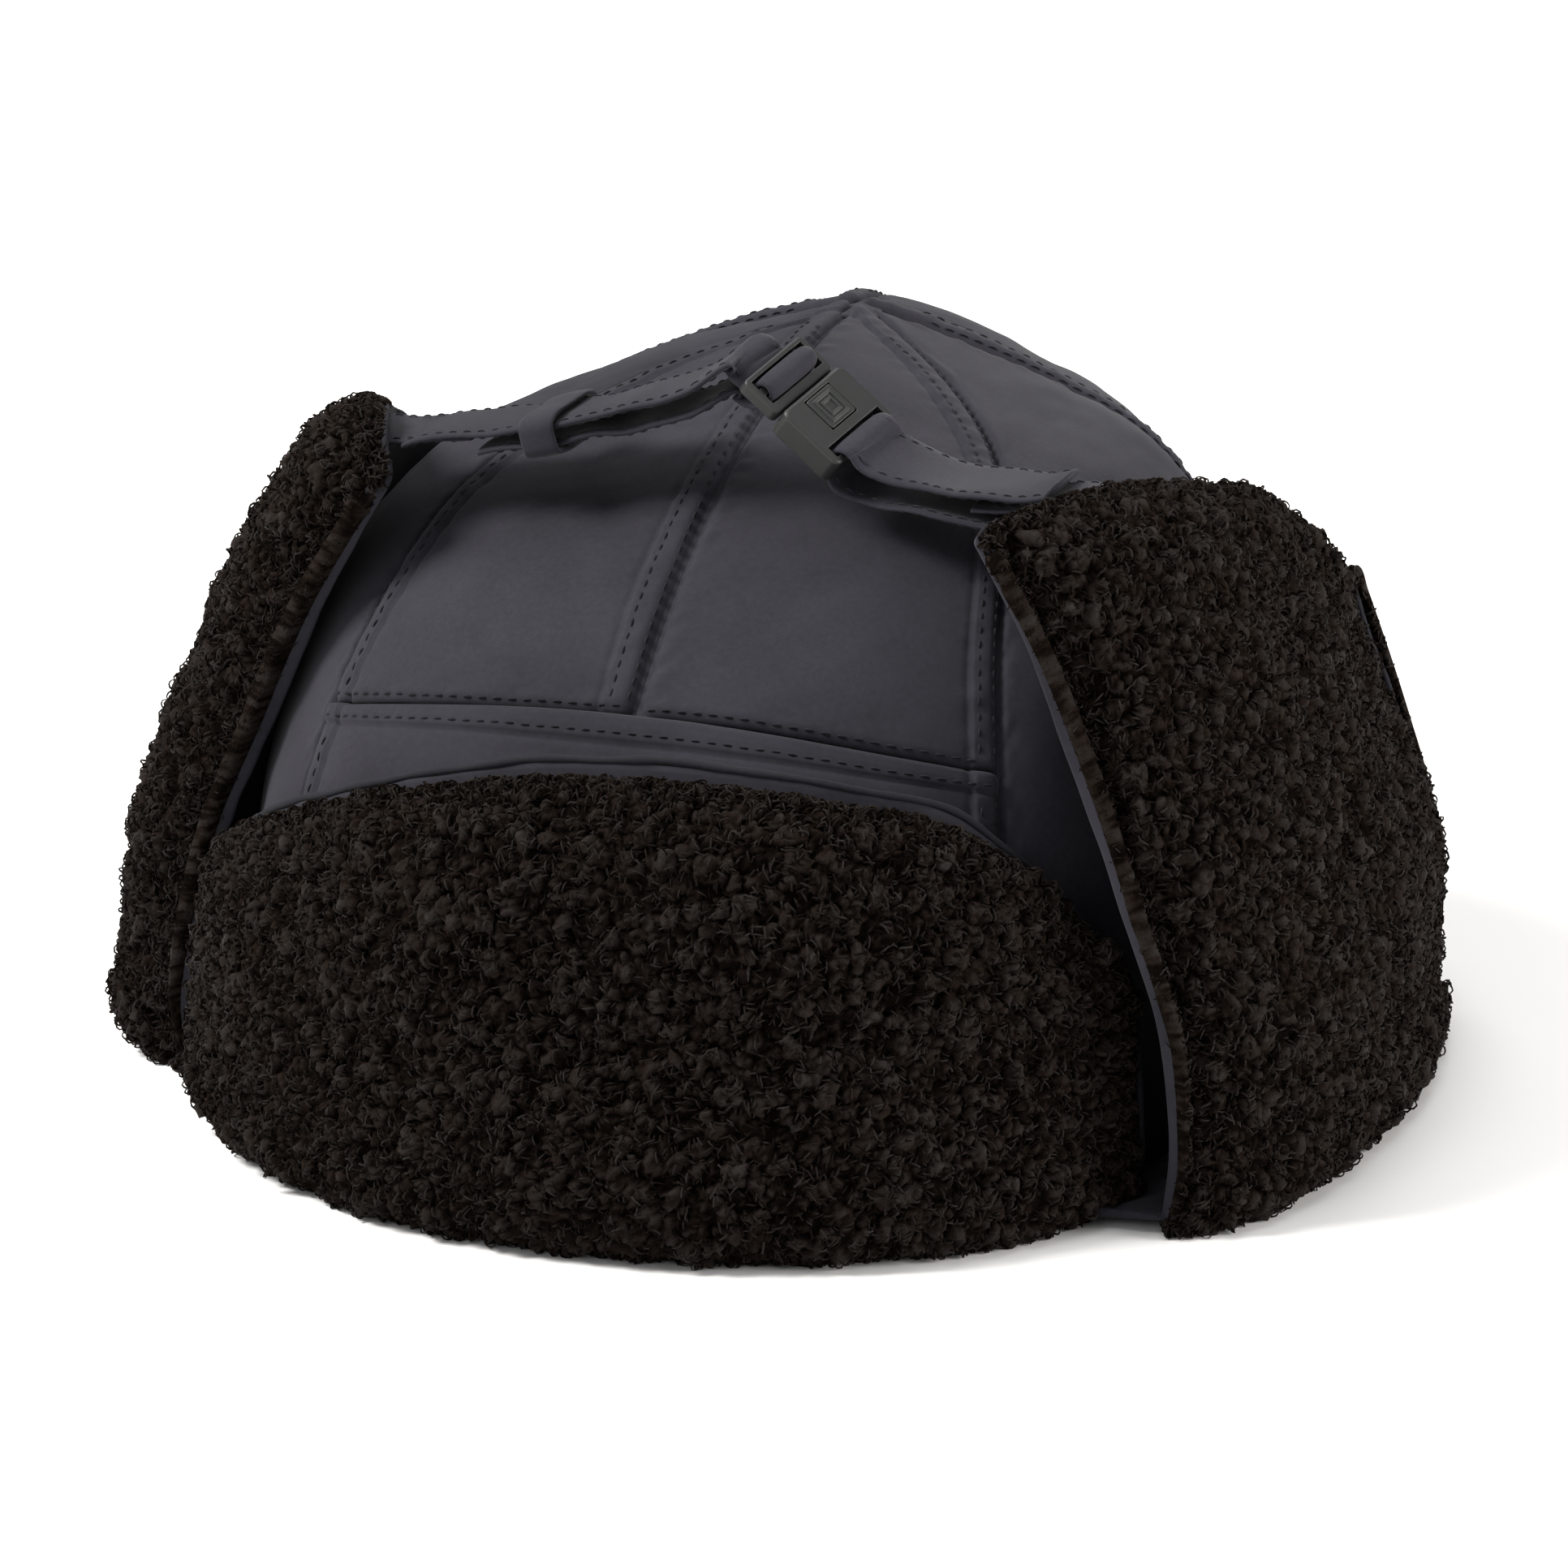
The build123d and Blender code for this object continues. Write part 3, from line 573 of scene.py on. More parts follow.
con = lambda v: (lambda x: np.full(np.shape(x), v, float) if np.ndim(x) else v)
rimw = lambda psi: w_at_z(psi, Z0)
band = lambda psi: w_at_z(psi, band_z(psi))
TOPW = 0.02
g_ = 0.0
crown_objs = [
    panel("crown_front_band", lambda w: -f_(w), lambda w: f_(w), rimw, band, 11, fold0=1, fold1=1, top_fold=1, rows=90),
    panel("crown_front_left", lambda w: 0 * w, lambda w: f_(w), band, con(TOPW), 12, fold1=1, lo_fold=1),
    panel("crown_front_right", lambda w: -f_(w), lambda w: 0 * w, band, con(TOPW), 13, fold0=1, fold1=1, lo_fold=1),
    panel("crown_side_left", lambda w: f_(w), lambda w: r_(w), rimw, con(TOPW), 14),
    panel("crown_side_right", lambda w: -r_(w), lambda w: -f_(w), rimw, con(TOPW), 15),
    panel("crown_rear_left", lambda w: r_(w), lambda w: pi + 0 * w, rimw, con(TOPW), 16, fold0=1),
    panel("crown_rear_right", lambda w: -pi + 0 * w, lambda w: -r_(w), rimw, con(TOPW), 17, fold0=1, fold1=1),
]
names = ["front_band", "front_panel_left", "front_panel_right", "side_panel_left", "side_panel_right", "rear_panel_left", "rear_panel_right"]
for ob, nm in zip(crown_objs, names):
    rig.ride(ob, "crown")
    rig.replaces(ob, nm)


def stitch_mesh(name, items, body, mat=None, r=0.27, ride=True):
    V, F, k = [], [], 0
    a = np.arange(6) * 2 * pi / 6
    for p, q, nrm in items:
        t = q - p
        ln = np.linalg.norm(t)
        if ln < 1e-6:
            continue
        t = t / ln
        s = np.cross(nrm, t); s /= max(1e-9, np.linalg.norm(s))
        n2 = np.cross(t, s)
        for u, rr, hgt in ((0, 0.25, -0.22), (0.2, 0.85, 0.10), (0.5, 1.0, 0.20), (0.8, 0.85, 0.10), (1, 0.25, -0.22)):
            c = p + t * ln * u + n2 * hgt
            V.append(c + rr * r * (np.cos(a)[:, None] * s + np.sin(a)[:, None] * n2 * 0.8))
        for j in range(4):
            for i in range(6):
                F.append([k + j * 6 + i, k + j * 6 + (i + 1) % 6, k + (j + 1) * 6 + (i + 1) % 6, k + (j + 1) * 6 + i])
        k += 30
    ob = make(name, np.concatenate(V), F, np.zeros((k, 2)))
    dress(ob, mat or M_THREAD, "shell_fabric")
    if ride:
        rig.ride(ob, body)
    return ob


# backing cloth under the point where the crown's panels meet
ub, vb = np.meshgrid(np.linspace(-1, 1, 25), np.linspace(-1, 1, 25))
wb = (TOPW + 0.035) * np.maximum(np.abs(ub), np.abs(vb))
pb = np.arctan2(ub, -vb)
tb, bb = crown(pb, wb, -0.45), crown(pb, wb, -1.5)
if grid_normals(tb)[..., 2].mean() < 0:
    tb, bb = tb[:, ::-1], bb[:, ::-1]
bk = closed_slab("crown_apex_backing", tb, bb, np.stack([ub * 6, vb * 6], -1))
dress(bk, M_SHELL, "shell_fabric")
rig.ride(bk, "crown")

st = stitch_mesh("crown_topstitching", STITCH, "crown")
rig.replaces(st, "seam_front_centre", "seam_rear_centre", "seam_front_left", "seam_front_right", "seam_rear_left", "seam_rear_right", "seam_front_band")


# ------------------------------------------------------------------ pile
def curls(P, seed, spacing, amp, crease=1.4, warp=0.9):
    """domed curls packed over a surface: height, the vector from each curl's centre, and a 0..1 mask"""
    r = np.random.default_rng(seed)
    W = np.stack([wave(P, spacing * 1.5, seed + 11 * k, 7) for k in (1, 2, 3)], -1)
    W += 0.6 * np.stack([wave(P, spacing * 0.8, seed + 17 * k, 7) for k in (1, 2, 3)], -1)
    flat = (P + W * warp).reshape(-1, 3)
    order = r.permutation(len(flat))
    cell = spacing * 0.72
    kd0 = kdtree.KDTree(len(flat))
    keys = np.floor(flat / (cell * 0.6)).astype(np.int64)
    # one candidate per small cell, then thin out by distance
    _, first = np.unique(keys[order] @ np.array([73856093, 19349663, 83492791]), return_index=True)
    cand = flat[order[np.sort(first)]]
    taken, sites = {}, []
    for q in cand.tolist():
        cx, cy, cz = int(q[0] // cell), int(q[1] // cell), int(q[2] // cell)
        ok = True
        for dx in (-1, 0, 1):
            for dy in (-1, 0, 1):
                for dz in (-1, 0, 1):
                    for o in taken.get((cx + dx, cy + dy, cz + dz), ()):
                        if (o[0] - q[0]) ** 2 + (o[1] - q[1]) ** 2 + (o[2] - q[2]) ** 2 < cell * cell:
                            ok = False
        if ok:
            taken.setdefault((cx, cy, cz), []).append(q)
            sites.append(q)
    kd = kdtree.KDTree(len(sites))
    for i, q in enumerate(sites):
        kd.insert(q, i)
    kd.balance()
    hgt = r.uniform(0.45, 1.3, len(sites))
    d = np.empty((len(flat), 2)); ix = np.empty(len(flat), int)
    for i, q in enumerate(flat.tolist()):
        n2 = kd.find_n(q, 2)
        d[i, 0] = n2[0][2]; ix[i] = n2[0][1]; d[i, 1] = n2[1][2]
    R = spacing * 0.70
    dome = np.sqrt(np.clip(1 - (d[:, 0] / R) ** 2, 0, 1))
    cr = smooth(0, crease, d[:, 1] - d[:, 0])
    h = hgt[ix] * (0.15 + 0.85 * dome) * (0.25 + 0.75 * cr)
    away = flat - np.array(sites)[ix]
    return amp * h.reshape(P.shape[:-1]), away.reshape(P.shape), h.reshape(P.shape[:-1])


def fleece_sheet(name, P, flip, seed, amp=(2.0, 1.15), thick=1.0, floor=None, fade=1.0):
    """curly sheet over the grid P (mm)"""
    Nn = grid_normals(P)
    if flip:
        Nn = -Nn
    D1, away, h1 = curls(P, seed, 4.4, amp[0])
    D1 = D1 * fade
    tang = away - (away * Nn).sum(-1, keepdims=True) * Nn
    X = P + Nn * D1[..., None]
    swirl = np.cross(Nn, tang)
    X = X + 0.34 * swirl * smooth(0, 2.0, D1)[..., None] + 0.20 * tang
    D2, away2, h2 = curls(X, seed + 1, 2.3, amp[1], crease=0.9, warp=0.6)
    X = X + Nn * (fade * (D2 - 0.5))[..., None]
    # curl height, kept as the 'curl' attribute; the pile's colour uses it for painted shade between the curls and
    # painted highlight on their tips
    curl = np.clip(0.5 * h1 + 0.5 * h2, 0, 1.4)
    ins = P - Nn * thick
    if floor is not None:
        X[..., 2] = np.maximum(X[..., 2], floor)
        ins[..., 2] = np.maximum(ins[..., 2], floor + 0.3)
    U = np.stack(np.meshgrid(np.arange(P.shape[1]) * 0.8, np.arange(P.shape[0]) * 0.8), -1)
    if flip:
        X, ins, curl, U = X[:, ::-1], ins[:, ::-1], curl[:, ::-1], U[:, ::-1]
    return closed_slab(name, X, ins, U, {"curl": curl})


def tufts(name, X, Nn, count, seed, body, floor=0.15, weight=1.0):
    """short curled fibres standing over the curly sheet, seeded over its grid X with normals Nn"""
    r = np.random.default_rng(seed)
    m, n = X.shape[:2]
    du = np.linalg.norm(np.cross(X[1:, 1:] - X[:-1, :-1], X[1:, :-1] - X[:-1, 1:]), axis=-1).ravel()
    du = du * np.broadcast_to(weight, X.shape[:2])[1:, 1:].ravel()
    pick = r.choice(len(du), count, p=du / du.sum())
    j, i = pick // (n - 1), pick % (n - 1)
    u, v = r.random((count, 1)), r.random((count, 1))
    P = (X[j, i] * (1 - u) * (1 - v) + X[j, i + 1] * u * (1 - v) + X[j + 1, i] * (1 - u) * v + X[j + 1, i + 1] * u * v)
    Nr = Nn[j, i]
    t = r.normal(size=(count, 3))
    t -= (t * Nr).sum(1, keepdims=True) * Nr
    t /= np.linalg.norm(t, axis=1, keepdims=True)
    b = np.cross(Nr, t)
    rad = r.uniform(0.55, 1.25, (count, 1))
    turn = r.uniform(0.9, 1.7, count) * pi
    K, S = 6, 3
    verts = np.empty((count, K, S, 3))
    lean = r.normal(0, 0.5, (count, 1))
    for k in range(K):
        a = (turn * k / (K - 1))[:, None]
        c = P + Nr * (rad * np.sin(a * 0.92) - 0.25) + t * (rad * (1 - np.cos(a)) - rad) + b * lean * (k / (K - 1))
        tang = Nr * np.cos(a) + t * np.sin(a)
        w1 = b
        w2 = np.cross(tang, w1)
        rr = 0.27 * (1 - 0.55 * k / (K - 1))
        for q in range(S):
            ph = 2 * pi * q / S
            verts[:, k, q] = c + rr * (math.cos(ph) * w1 + math.sin(ph) * w2)
    verts[..., 2] = np.maximum(verts[..., 2], floor)
    k, q = np.meshgrid(np.arange(K - 1), np.arange(S), indexing="ij")
    f = np.stack([k * S + q, k * S + (q + 1) % S, (k + 1) * S + (q + 1) % S, (k + 1) * S + q], -1).reshape(-1, 4)
    F = (f[None] + (np.arange(count) * K * S)[:, None, None]).reshape(-1, 4)
    shade = np.repeat(r.uniform(0.35, 1.15, count), K * S)
    ob = make(name, verts.reshape(-1, 3), F, verts.reshape(-1, 3)[:, :2], attrs={"curl": shade})
    dress(ob, M_PILE, "fleece")
    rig.ride(ob, body)
    return ob


# ------------------------------------------------------------------ flaps
FZ = 3.0


def visor_pt(g, h, t):
    psi = np.radians(63) * g
    zt = table(g, [-1, -.86, -.5, -.22, 0, .22, .45, .67, .88, 1], [46, 57, 73, 82, 86, 86, 83, 77, 60, 43])
    z = FZ + h * (zt - FZ)
    inset = -25.0 * np.maximum(0.0, (z - 12) / 82) ** 1.35 - 4.0 * np.maximum(0.0, 1 - z / 12) ** 2
    k = 0.5 + 0.5 * np.tanh(3 * g)
    a = 112.5 + (108.5 - 112.5) * k
    n = 2.05 + (2.4 - 2.05) * k
    a = a + inset * 0.55 - t
    b = 131.0 + inset - t
    return np.stack(np.broadcast_arrays(a * spow(np.sin(psi), 2 / n), 1 - b * spow(np.cos(psi), 2 / n), z), -1)


def taper(body, end, lo=2.5):
    end = np.clip(end, 0, 1)
    return lo + (body - lo) * np.sqrt(np.clip(1 - (1 - end) ** 2, 0, 1))


def visor_T(g, h):
    body = table(h, [0, .35, .8, 1], [10.6, 11.8, 11.8, 10.4]) * (1 - 0.3 * np.minimum(1.0, np.abs(g) * 1.3) ** 2)
    return taper(body, (1 - np.abs(g)) / 0.16)


def ear_pt(g, h, t, side):
    G = [0, .1, .25, .45, .65, .85, 1]
    if side > 0:
        bx = table(g, G, [112, 119, 127, 130, 130, 125, 118])
        by = table(g, G, [-78, -72, -52, -18, 14, 44, 60])
        zt = table(g, G, [128, 132, 133, 128, 119, 104, 92])
        inset = -table(h * (zt - FZ) + FZ, [0, 14, 35, 48, 60, 75, 91, 110, 129, 140], [3, 0, 0, 3, 7, 12.5, 19, 28, 40, 48])
    else:
        bx = table(g, G, [108, 115.5, 123.5, 129.6, 130, 125, 118])
        by = table(g, G, [-54, -50, -38, -14, 14, 44, 60])
        zt = table(g, G, [122, 129, 134, 129, 118, 104, 92])
        inset = -table(h * (zt - FZ) + FZ, [0, 14, 31, 54, 73, 98, 124, 138], [3, 0, 1, 6, 14, 25, 41, 52])
    z = FZ + h * (zt - FZ)
    front = np.maximum(0.0, 1 - g / 0.12)
    x = bx + inset - t - front * 4.0 * np.minimum(1.0, z / 60)
    y = by + (9 * z / 130 if side > 0 else 3 * z / 130) * np.maximum(0.0, 1 - g / 0.5)
    x, y, z = np.broadcast_arrays(x, y, z)
    return np.stack([side * x, y, z], -1)


def ear_T(g, h):
    body = table(h, [0, .12, .4, .8, 1], [23, 20, 16, 13.5, 11.5])
    near = np.clip((0.42 - g) / 0.32, 0, 1) * np.maximum(0.0, 1 - h / 0.7)
    return taper(body + (9.0 - body) * near, np.minimum(g / 0.14, (1 - g) / 0.10))


def neck_pt(g, h, t):
    psi = pi + g * np.radians(61.8 - 4.2 * h)
    zt = 92.0 - 4 * g * g
    z = FZ + h * (zt - FZ)
    inset = -15.5 * np.maximum(0.0, (z - 20) / 72) ** 1.5 - 4.0 * np.maximum(0.0, 1 - z / 12) ** 2
    a, b = 127.0 + inset - t, 128.87 + inset - t
    s, c = np.sin(psi), np.cos(psi)
    y = 1 - b * spow(c, 2 / 2.3)
    x = -a * spow(s, 2 / 2.3)
    x, y, z = np.broadcast_arrays(x, np.maximum(y, 62.0 + 0.2 * t), z)
    return np.stack([x, y, z], -1)


def neck_T(g, h):
    return taper(table(h, [0, .35, .8, 1], [11, 11.5, 10, 8.5]) * (1 - 0.2 * g * g), (1 - np.abs(g)) / 0.12, 3.0)


def rounded(e, R):
    q = 1 - np.clip(e / R, 0, 1)
    return np.sqrt(np.clip(1 - q * q, 0, 1))


def dense_ends(L, zone, step, step_end):
    """parameter values 0..1 for a run of L mm, finer within zone of both ends"""
    a = np.arange(0, zone, step_end)
    m = np.linspace(zone, L - zone, max(4, int((L - 2 * zone) / step)))
    return np.concatenate([a, m, L - a[::-1]]) / L


FLAPS = {}


def flap(key, body, point, thick, g0, g1, Lg, Lh, seed, flip, R_end=5.0, R_top=7.0, R_bot=4.5, puff=2.0):
    step = 1.6 if QUICK else 0.8
    arc = R_end * (1 - np.sin(np.linspace(pi / 2, 0, 9)))
    sg = np.concatenate([arc, np.linspace(R_end, Lg - R_end, int((Lg - 2 * R_end) / step))[1:-1], Lg - arc[::-1]]) / Lg
    g = g0 + (g1 - g0) * sg
    Z1 = point(g, 1.0 + 0 * g, 0 * g)[..., 2]
    T0 = thick(g, 0 * g)
    Rb = np.minimum(R_bot, T0 * 0.8)
    zl = 1.3
    P_rows, prof_rows, Tt = [], [], []
    e0, e1 = (g - g0) / (g1 - g0) * Lg, (g1 - g) / (g1 - g0) * Lg
    pe = rounded(e0, R_end) * rounded(e1, R_end)

    def add(hh, t, z=None, pr=1.0):
        T = thick(g, np.clip(hh, 0, 1))
        tt = T - (T - np.minimum(t, T)) * pe
        p = point(g, hh, tt)
        if z is not None:
            p[..., 2] = z
        P_rows.append(p); prof_rows.append(pr * pe + 0 * g); Tt.append(T)
    nu = max(4, int(float(T0.max()) / step))
    for q in np.linspace(0, 1, nu, endpoint=False):              # underside, from the cloth out to the corner
        add(0 * g, T0 + (Rb - T0) * q, zl, 0.0)
    for a_ in np.linspace(0, pi / 2, 9, endpoint=False):         # bottom corner
        z = zl + Rb * (1 - math.cos(a_))
        add((z - FZ) / (Z1 - FZ), Rb * (1 - math.sin(a_)), z, 0.3 * math.sin(a_))
    hb = (zl + Rb - FZ) / (Z1 - FZ)
    top = (R_top / Lh) * (1 - np.sin(np.linspace(0, pi / 2, int(17 / step))))
    sh = np.concatenate([np.linspace(0, 1 - R_top / Lh, int((Lh - R_top) / step), endpoint=False), 1 - top])
    for q in sh:
        hh = hb + (1 - 3.4 / Lh - hb) * q
        Th = thick(g, hh)
        pt = rounded((1 - q) * Lh, R_top)
        add(hh, Th * (1 - pt), None, float(pt) * float(smooth(0, 0.08, q) * 0.7 + 0.3))
    base, prof = np.array(P_rows), np.array(prof_rows)
    Nn = grid_normals(base)
    if flip:
        Nn = -Nn
    tg = np.gradient(base, axis=1)
    tg /= np.maximum(np.linalg.norm(tg, axis=-1, keepdims=True), 1e-9)
    lip = np.exp(-(e1 / 2.2) ** 2) - np.exp(-(e0 / 2.2) ** 2)
    base = base + tg * (1.8 * lip)[None, :, None] + Nn * (-0.8 * np.abs(lip))[None, :, None]
    base = base + Nn * (prof * (puff * (0.55 * wave(base, 48, seed + 5) + 0.25 * wave(base, 22, seed + 6)) - 2.6))[..., None]
    if key == "ear_flap_left":
        base = base - Nn * (prof * 2.6 * smooth(0.4, 0.75, g)[None])[..., None]
    base[..., 2] = np.maximum(base[..., 2], 1.2)
    run = np.concatenate([[0], np.cumsum(np.linalg.norm(np.diff(base[:, base.shape[1] // 2], axis=0), axis=1))])
    edge = np.minimum(np.minimum(run, run[-1] - run)[:, None], np.minimum(e0, e1)[None])
    ob = fleece_sheet(key + "_pile", base, flip, seed, floor=0.15, fade=0.12 + 0.88 * smooth(0, 2.6, edge))
    mv = base.shape[0] * base.shape[1]
    co = np.empty(len(ob.data.vertices) * 3, np.float32)
    ob.data.vertices.foreach_get("co", co)
    top_v = co.reshape(-1, 3)[:mv].reshape(base.shape) / MM
    if flip:
        top_v = top_v[:, ::-1]
    n2 = grid_normals(base) * (-1 if flip else 1)
    tufts(key + "_curls", top_v.astype(float)[nu:], n2[nu:], 3000 if QUICK else 15000, seed + 3, body,
          weight=(1 + 9 * np.exp(-edge / 2.2))[nu:])
    dress(ob, M_PILE, "fleece")
    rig.ride(ob, body)
    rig.replaces(ob, key + "_fleece")
    FLAPS[key] = (point, thick, g0, g1, Lg, Lh)
    return ob


def shell_of(key, body, flip, seed, rim_pts, start, end):
    """shell cloth behind the pile, its turned edge, and the fold that joins it to the rim"""
    point, thick, g0, g1, Lg, Lh = FLAPS[key]
    ng, nh = 150, 70
    rise = 0.974 if key.startswith("ear") else 1.0
    sg, sh = np.linspace(0, 1, ng), np.linspace(0, rise, nh)
    G, Hh = np.meshgrid(g0 + (g1 - g0) * sg, sh)
    T = thick(G, Hh)
    out = point(G, Hh, T + 0.2)
    inn = point(G, Hh, T + 1.4)
    Nn = grid_normals(inn)
    if flip:
        Nn = -Nn
    e = np.minimum(np.minimum((G - g0) / (g1 - g0), (g1 - G) / (g1 - g0)) * Lg, (1 - Hh) * Lh)
    w = 0.35 * wave(inn, 30, seed) + 0.2 * wave(inn, 11, seed + 1) - 0.25 * np.exp(-((e - 5) / 0.7) ** 2)
    inn = inn + Nn * (w * smooth(0, 4, e))[..., None] * 0.6
    # fold down to the rim
    fold = 16
    k = np.linspace(0, 1, fold, endpoint=False)[:, None, None]
    X0 = rim_pts(G[0])
    X1o, X1i = out[0], inn[0]
    sag = (np.sin(pi * k) * 0.5)
    lo_o = X0[None] * (1 - k) + X1o[None] * k
    lo_i = X0[None] * (1 - k) + X1i[None] * k
    lo_o = lo_o + np.array([0, 0, -0.6]) * sag
    lo_i = lo_i + np.array([0, 0, 1.2]) * (0.4 + sag)
    wr = wave(lo_i, 13, seed + 3)[..., None] * np.array([0, 0, 0.7]) * np.sin(pi * k)
    lo_i = lo_i + np.abs(wr)
    O = np.concatenate([lo_o, out]); I = np.concatenate([lo_i, inn])
    O[..., 2] = np.maximum(O[..., 2], 0.5); I[..., 2] = np.maximum(I[..., 2], 1.2)
    U = np.stack([np.broadcast_to(sg[None] * Lg, O.shape[:2]), np.concatenate([np.linspace(-20, 0, fold, endpoint=False), sh * Lh])[:, None] + 0 * sg[None]], -1)
    # inner face looks at the crown
    if flip:
        ob = closed_slab(key + "_cloth", I, O, U)
    else:
        ob = closed_slab(key + "_cloth", I[:, ::-1], O[:, ::-1], U[:, ::-1])
    dress(ob, M_SHELL, "shell_fabric")
    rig.blend(ob, "crown", body, start=start, end=end)
    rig.replaces(ob, key + "_shell")
    # turned edge
    s = np.linspace(0.10, 1, 60)
    ga = np.concatenate([np.full(60, g0), g0 + (g1 - g0) * np.linspace(0, 1, 200)[1:-1], np.full(60, g1)])
    ha = np.concatenate([s, np.ones(198), s[::-1]]) * rise
    path = point(ga, ha, thick(ga, ha) + 0.6)
    cen = path.mean(0)
    # move a touch outwards past the sheet's border
    nx = point(ga, np.clip(ha + 0.004, 0, 1.01), thick(ga, ha) + 0.6)
    path = path + np.array([0, 0, 0.4])
    path = path + 0.25 * wave(path, 17, seed + 9)[:, None] * np.array([0.5, 0.5, 1])
    V, F = tube(path, (0.6 if rise < 1 else 0.8) + 0.10 * wave(path, 8, seed + 8), 10)
    ed = make(key + "_edge", V, F, np.stack([np.repeat(np.linspace(0, 400, len(path)), 10), np.tile(np.linspace(0, 8, 10), len(path))], -1))
    dress(ed, M_EDGE, "shell_fabric")
    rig.ride(ed, body)
    return ob


def rim_by_psi(G, half, centre):
    x, y = rim(centre + G * radians(half), -0.4)
    return np.stack([x, y, np.full(x.shape, 1.3)], -1)


def rim_by_y(G, side):
    p = ear_pt(G, 0.0 * G, 0.0, side)
    y = np.clip(p[..., 1], -100, 100)
    x = (A - 0.4) * (1 - (np.abs(y) / (B - 0.4)) ** N) ** (1 / N)
    return np.stack([side * x, y, np.full(x.shape, 1.3)], -1)


flap("visor", "visor_flap", visor_pt, visor_T, -1.0, 1.0, 262, 92, 21, False)
flap("ear_flap_left", "ear_flap_left", lambda g, h, t: ear_pt(g, h, t, 1), ear_T, 0.0, 1.0, 150, 140, 31, False)
flap("ear_flap_right", "ear_flap_right", lambda g, h, t: ear_pt(g, h, t, -1), ear_T, 0.0, 1.0, 128, 140, 41, True)
flap("neck_flap", "neck_flap", neck_pt, neck_T, -1.0, 1.0, 300, 95, 51, True)

shell_of("visor", "visor_flap", False, 61, lambda G: rim_by_psi(G, 50, 0.0), (0, -0.112, 0.0), (0, -0.116, 0.008))
shell_of("ear_flap_left", "ear_flap_left", False, 62, lambda G: rim_by_y(G, 1), (0.097, 0, 0), (0.103, 0, 0.0036))
shell_of("ear_flap_right", "ear_flap_right", True, 63, lambda G: rim_by_y(G, -1), (-0.097, 0, 0), (-0.103, 0, 0.0036))
shell_of("neck_flap", "neck_flap", True, 64, lambda G: rim_by_psi(G, 58, pi), (0, 0.112, 0.0), (0, 0.116, 0.008))


# ------------------------------------------------------------------ inside of the crown
def bowl_grid(off, z1=None, n=170, m=70, a=0.0, b=2 * pi):
    psi = np.linspace(a, b, n)
    wl = w_at_z(psi, Z0, off)
    wh = np.full(n, 0.03) if z1 is None else w_at_z(psi, z1, off)
    t = np.linspace(0, 1, m)[:, None]
    w = np.cos(np.arccos(np.minimum(1, wl)) * (1 - t) + np.arccos(wh) * t)
    return crown(psi[None] + 0 * t, w, off)


step = 2 if QUICK else 1
LINE_FLIP = True
for side, nm in ((0, "left"), (1, "right")):
    Gd = bowl_grid(-8.0, None, 230 // step, 130 // step, side * pi, (side + 1) * pi)
    ob = fleece_sheet("crown_lining_pile_" + nm, Gd, LINE_FLIP, 71 + side, amp=(1.8, 0.9), thick=2.0, floor=1.4)
    dress(ob, M_PILE, "fleece"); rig.ride(ob, "crown")
    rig.replaces(ob, "crown_lining_" + nm)
Gi = bowl_grid(-11.6, 34, 260, 14); Go = bowl_grid(-10.4, 34, 260, 14)
U = np.stack(np.meshgrid(np.linspace(0, 600, 260), np.linspace(0, 34, 14)), -1)
sb = closed_slab("sweatband_cloth", Go, Gi, U)
dress(sb, M_BAND, "sweatband"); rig.ride(sb, "crown")
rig.replaces(sb, "sweatband_left", "sweatband_right")
# flat binding round the lower edge
ps = np.linspace(0, 2 * pi, 300)
rows, rows2 = [], []
for o in np.linspace(0.8, -12.0, 10):
    x, y = rim(ps, o)
    zz = 0.0 + 0.25 * (abs(o + 5.6) / 6.4) ** 4
    rows.append(np.stack([x, y, np.full(300, zz)], -1))
    rows2.append(np.stack([x, y, np.full(300, 1.3 - 0.25 * (abs(o + 5.6) / 6.4) ** 4)], -1))
U = np.stack(np.meshgrid(np.linspace(0, 650, 300), np.linspace(0, 13, 10)), -1)
rb = closed_slab("rim_tape", np.array(rows2)[:, :], np.array(rows)[:, :], U)
dress(rb, M_SHELL, "shell_fabric"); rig.ride(rb, "crown")
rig.replaces(rb, "rim_binding")


# ------------------------------------------------------------------ strap
def unit(v):
    v = np.asarray(v, float)
    return v / np.linalg.norm(v)


BD = unit((0.779, -0.027, -0.630))
b0 = np.array((0.242, 0.936, 0.26))
BV = unit(b0 - BD * (b0 @ BD))
BN = np.cross(BD, BV)
BO = np.array((20.0, -33.0, 139.0))
atb = lambda u, w: tuple(BO + BD * u + BN * w)


def catmull(ctrl, n):
    c = [ctrl[0]] + list(ctrl) + [ctrl[-1]]
    c = np.array(c, float)
    out = []
    for i in range(1, len(c) - 2):
        for t in np.linspace(0, 1, 24, endpoint=False):
            p0, p1, p2, p3 = c[i - 1], c[i], c[i + 1], c[i + 2]
            out.append(0.5 * (2 * p1 + (p2 - p0) * t + (2 * p0 - 5 * p1 + 4 * p2 - p3) * t * t + (3 * p1 - p0 - 3 * p2 + p3) * t ** 3))
    out.append(c[-1])
    out = np.array(out)
    L = np.concatenate([[0], np.cumsum(np.linalg.norm(np.diff(out, axis=0), axis=1))])
    s = np.linspace(0, L[-1], n)
    return np.stack([np.interp(s, L, out[:, k]) for k in range(3)], -1), s


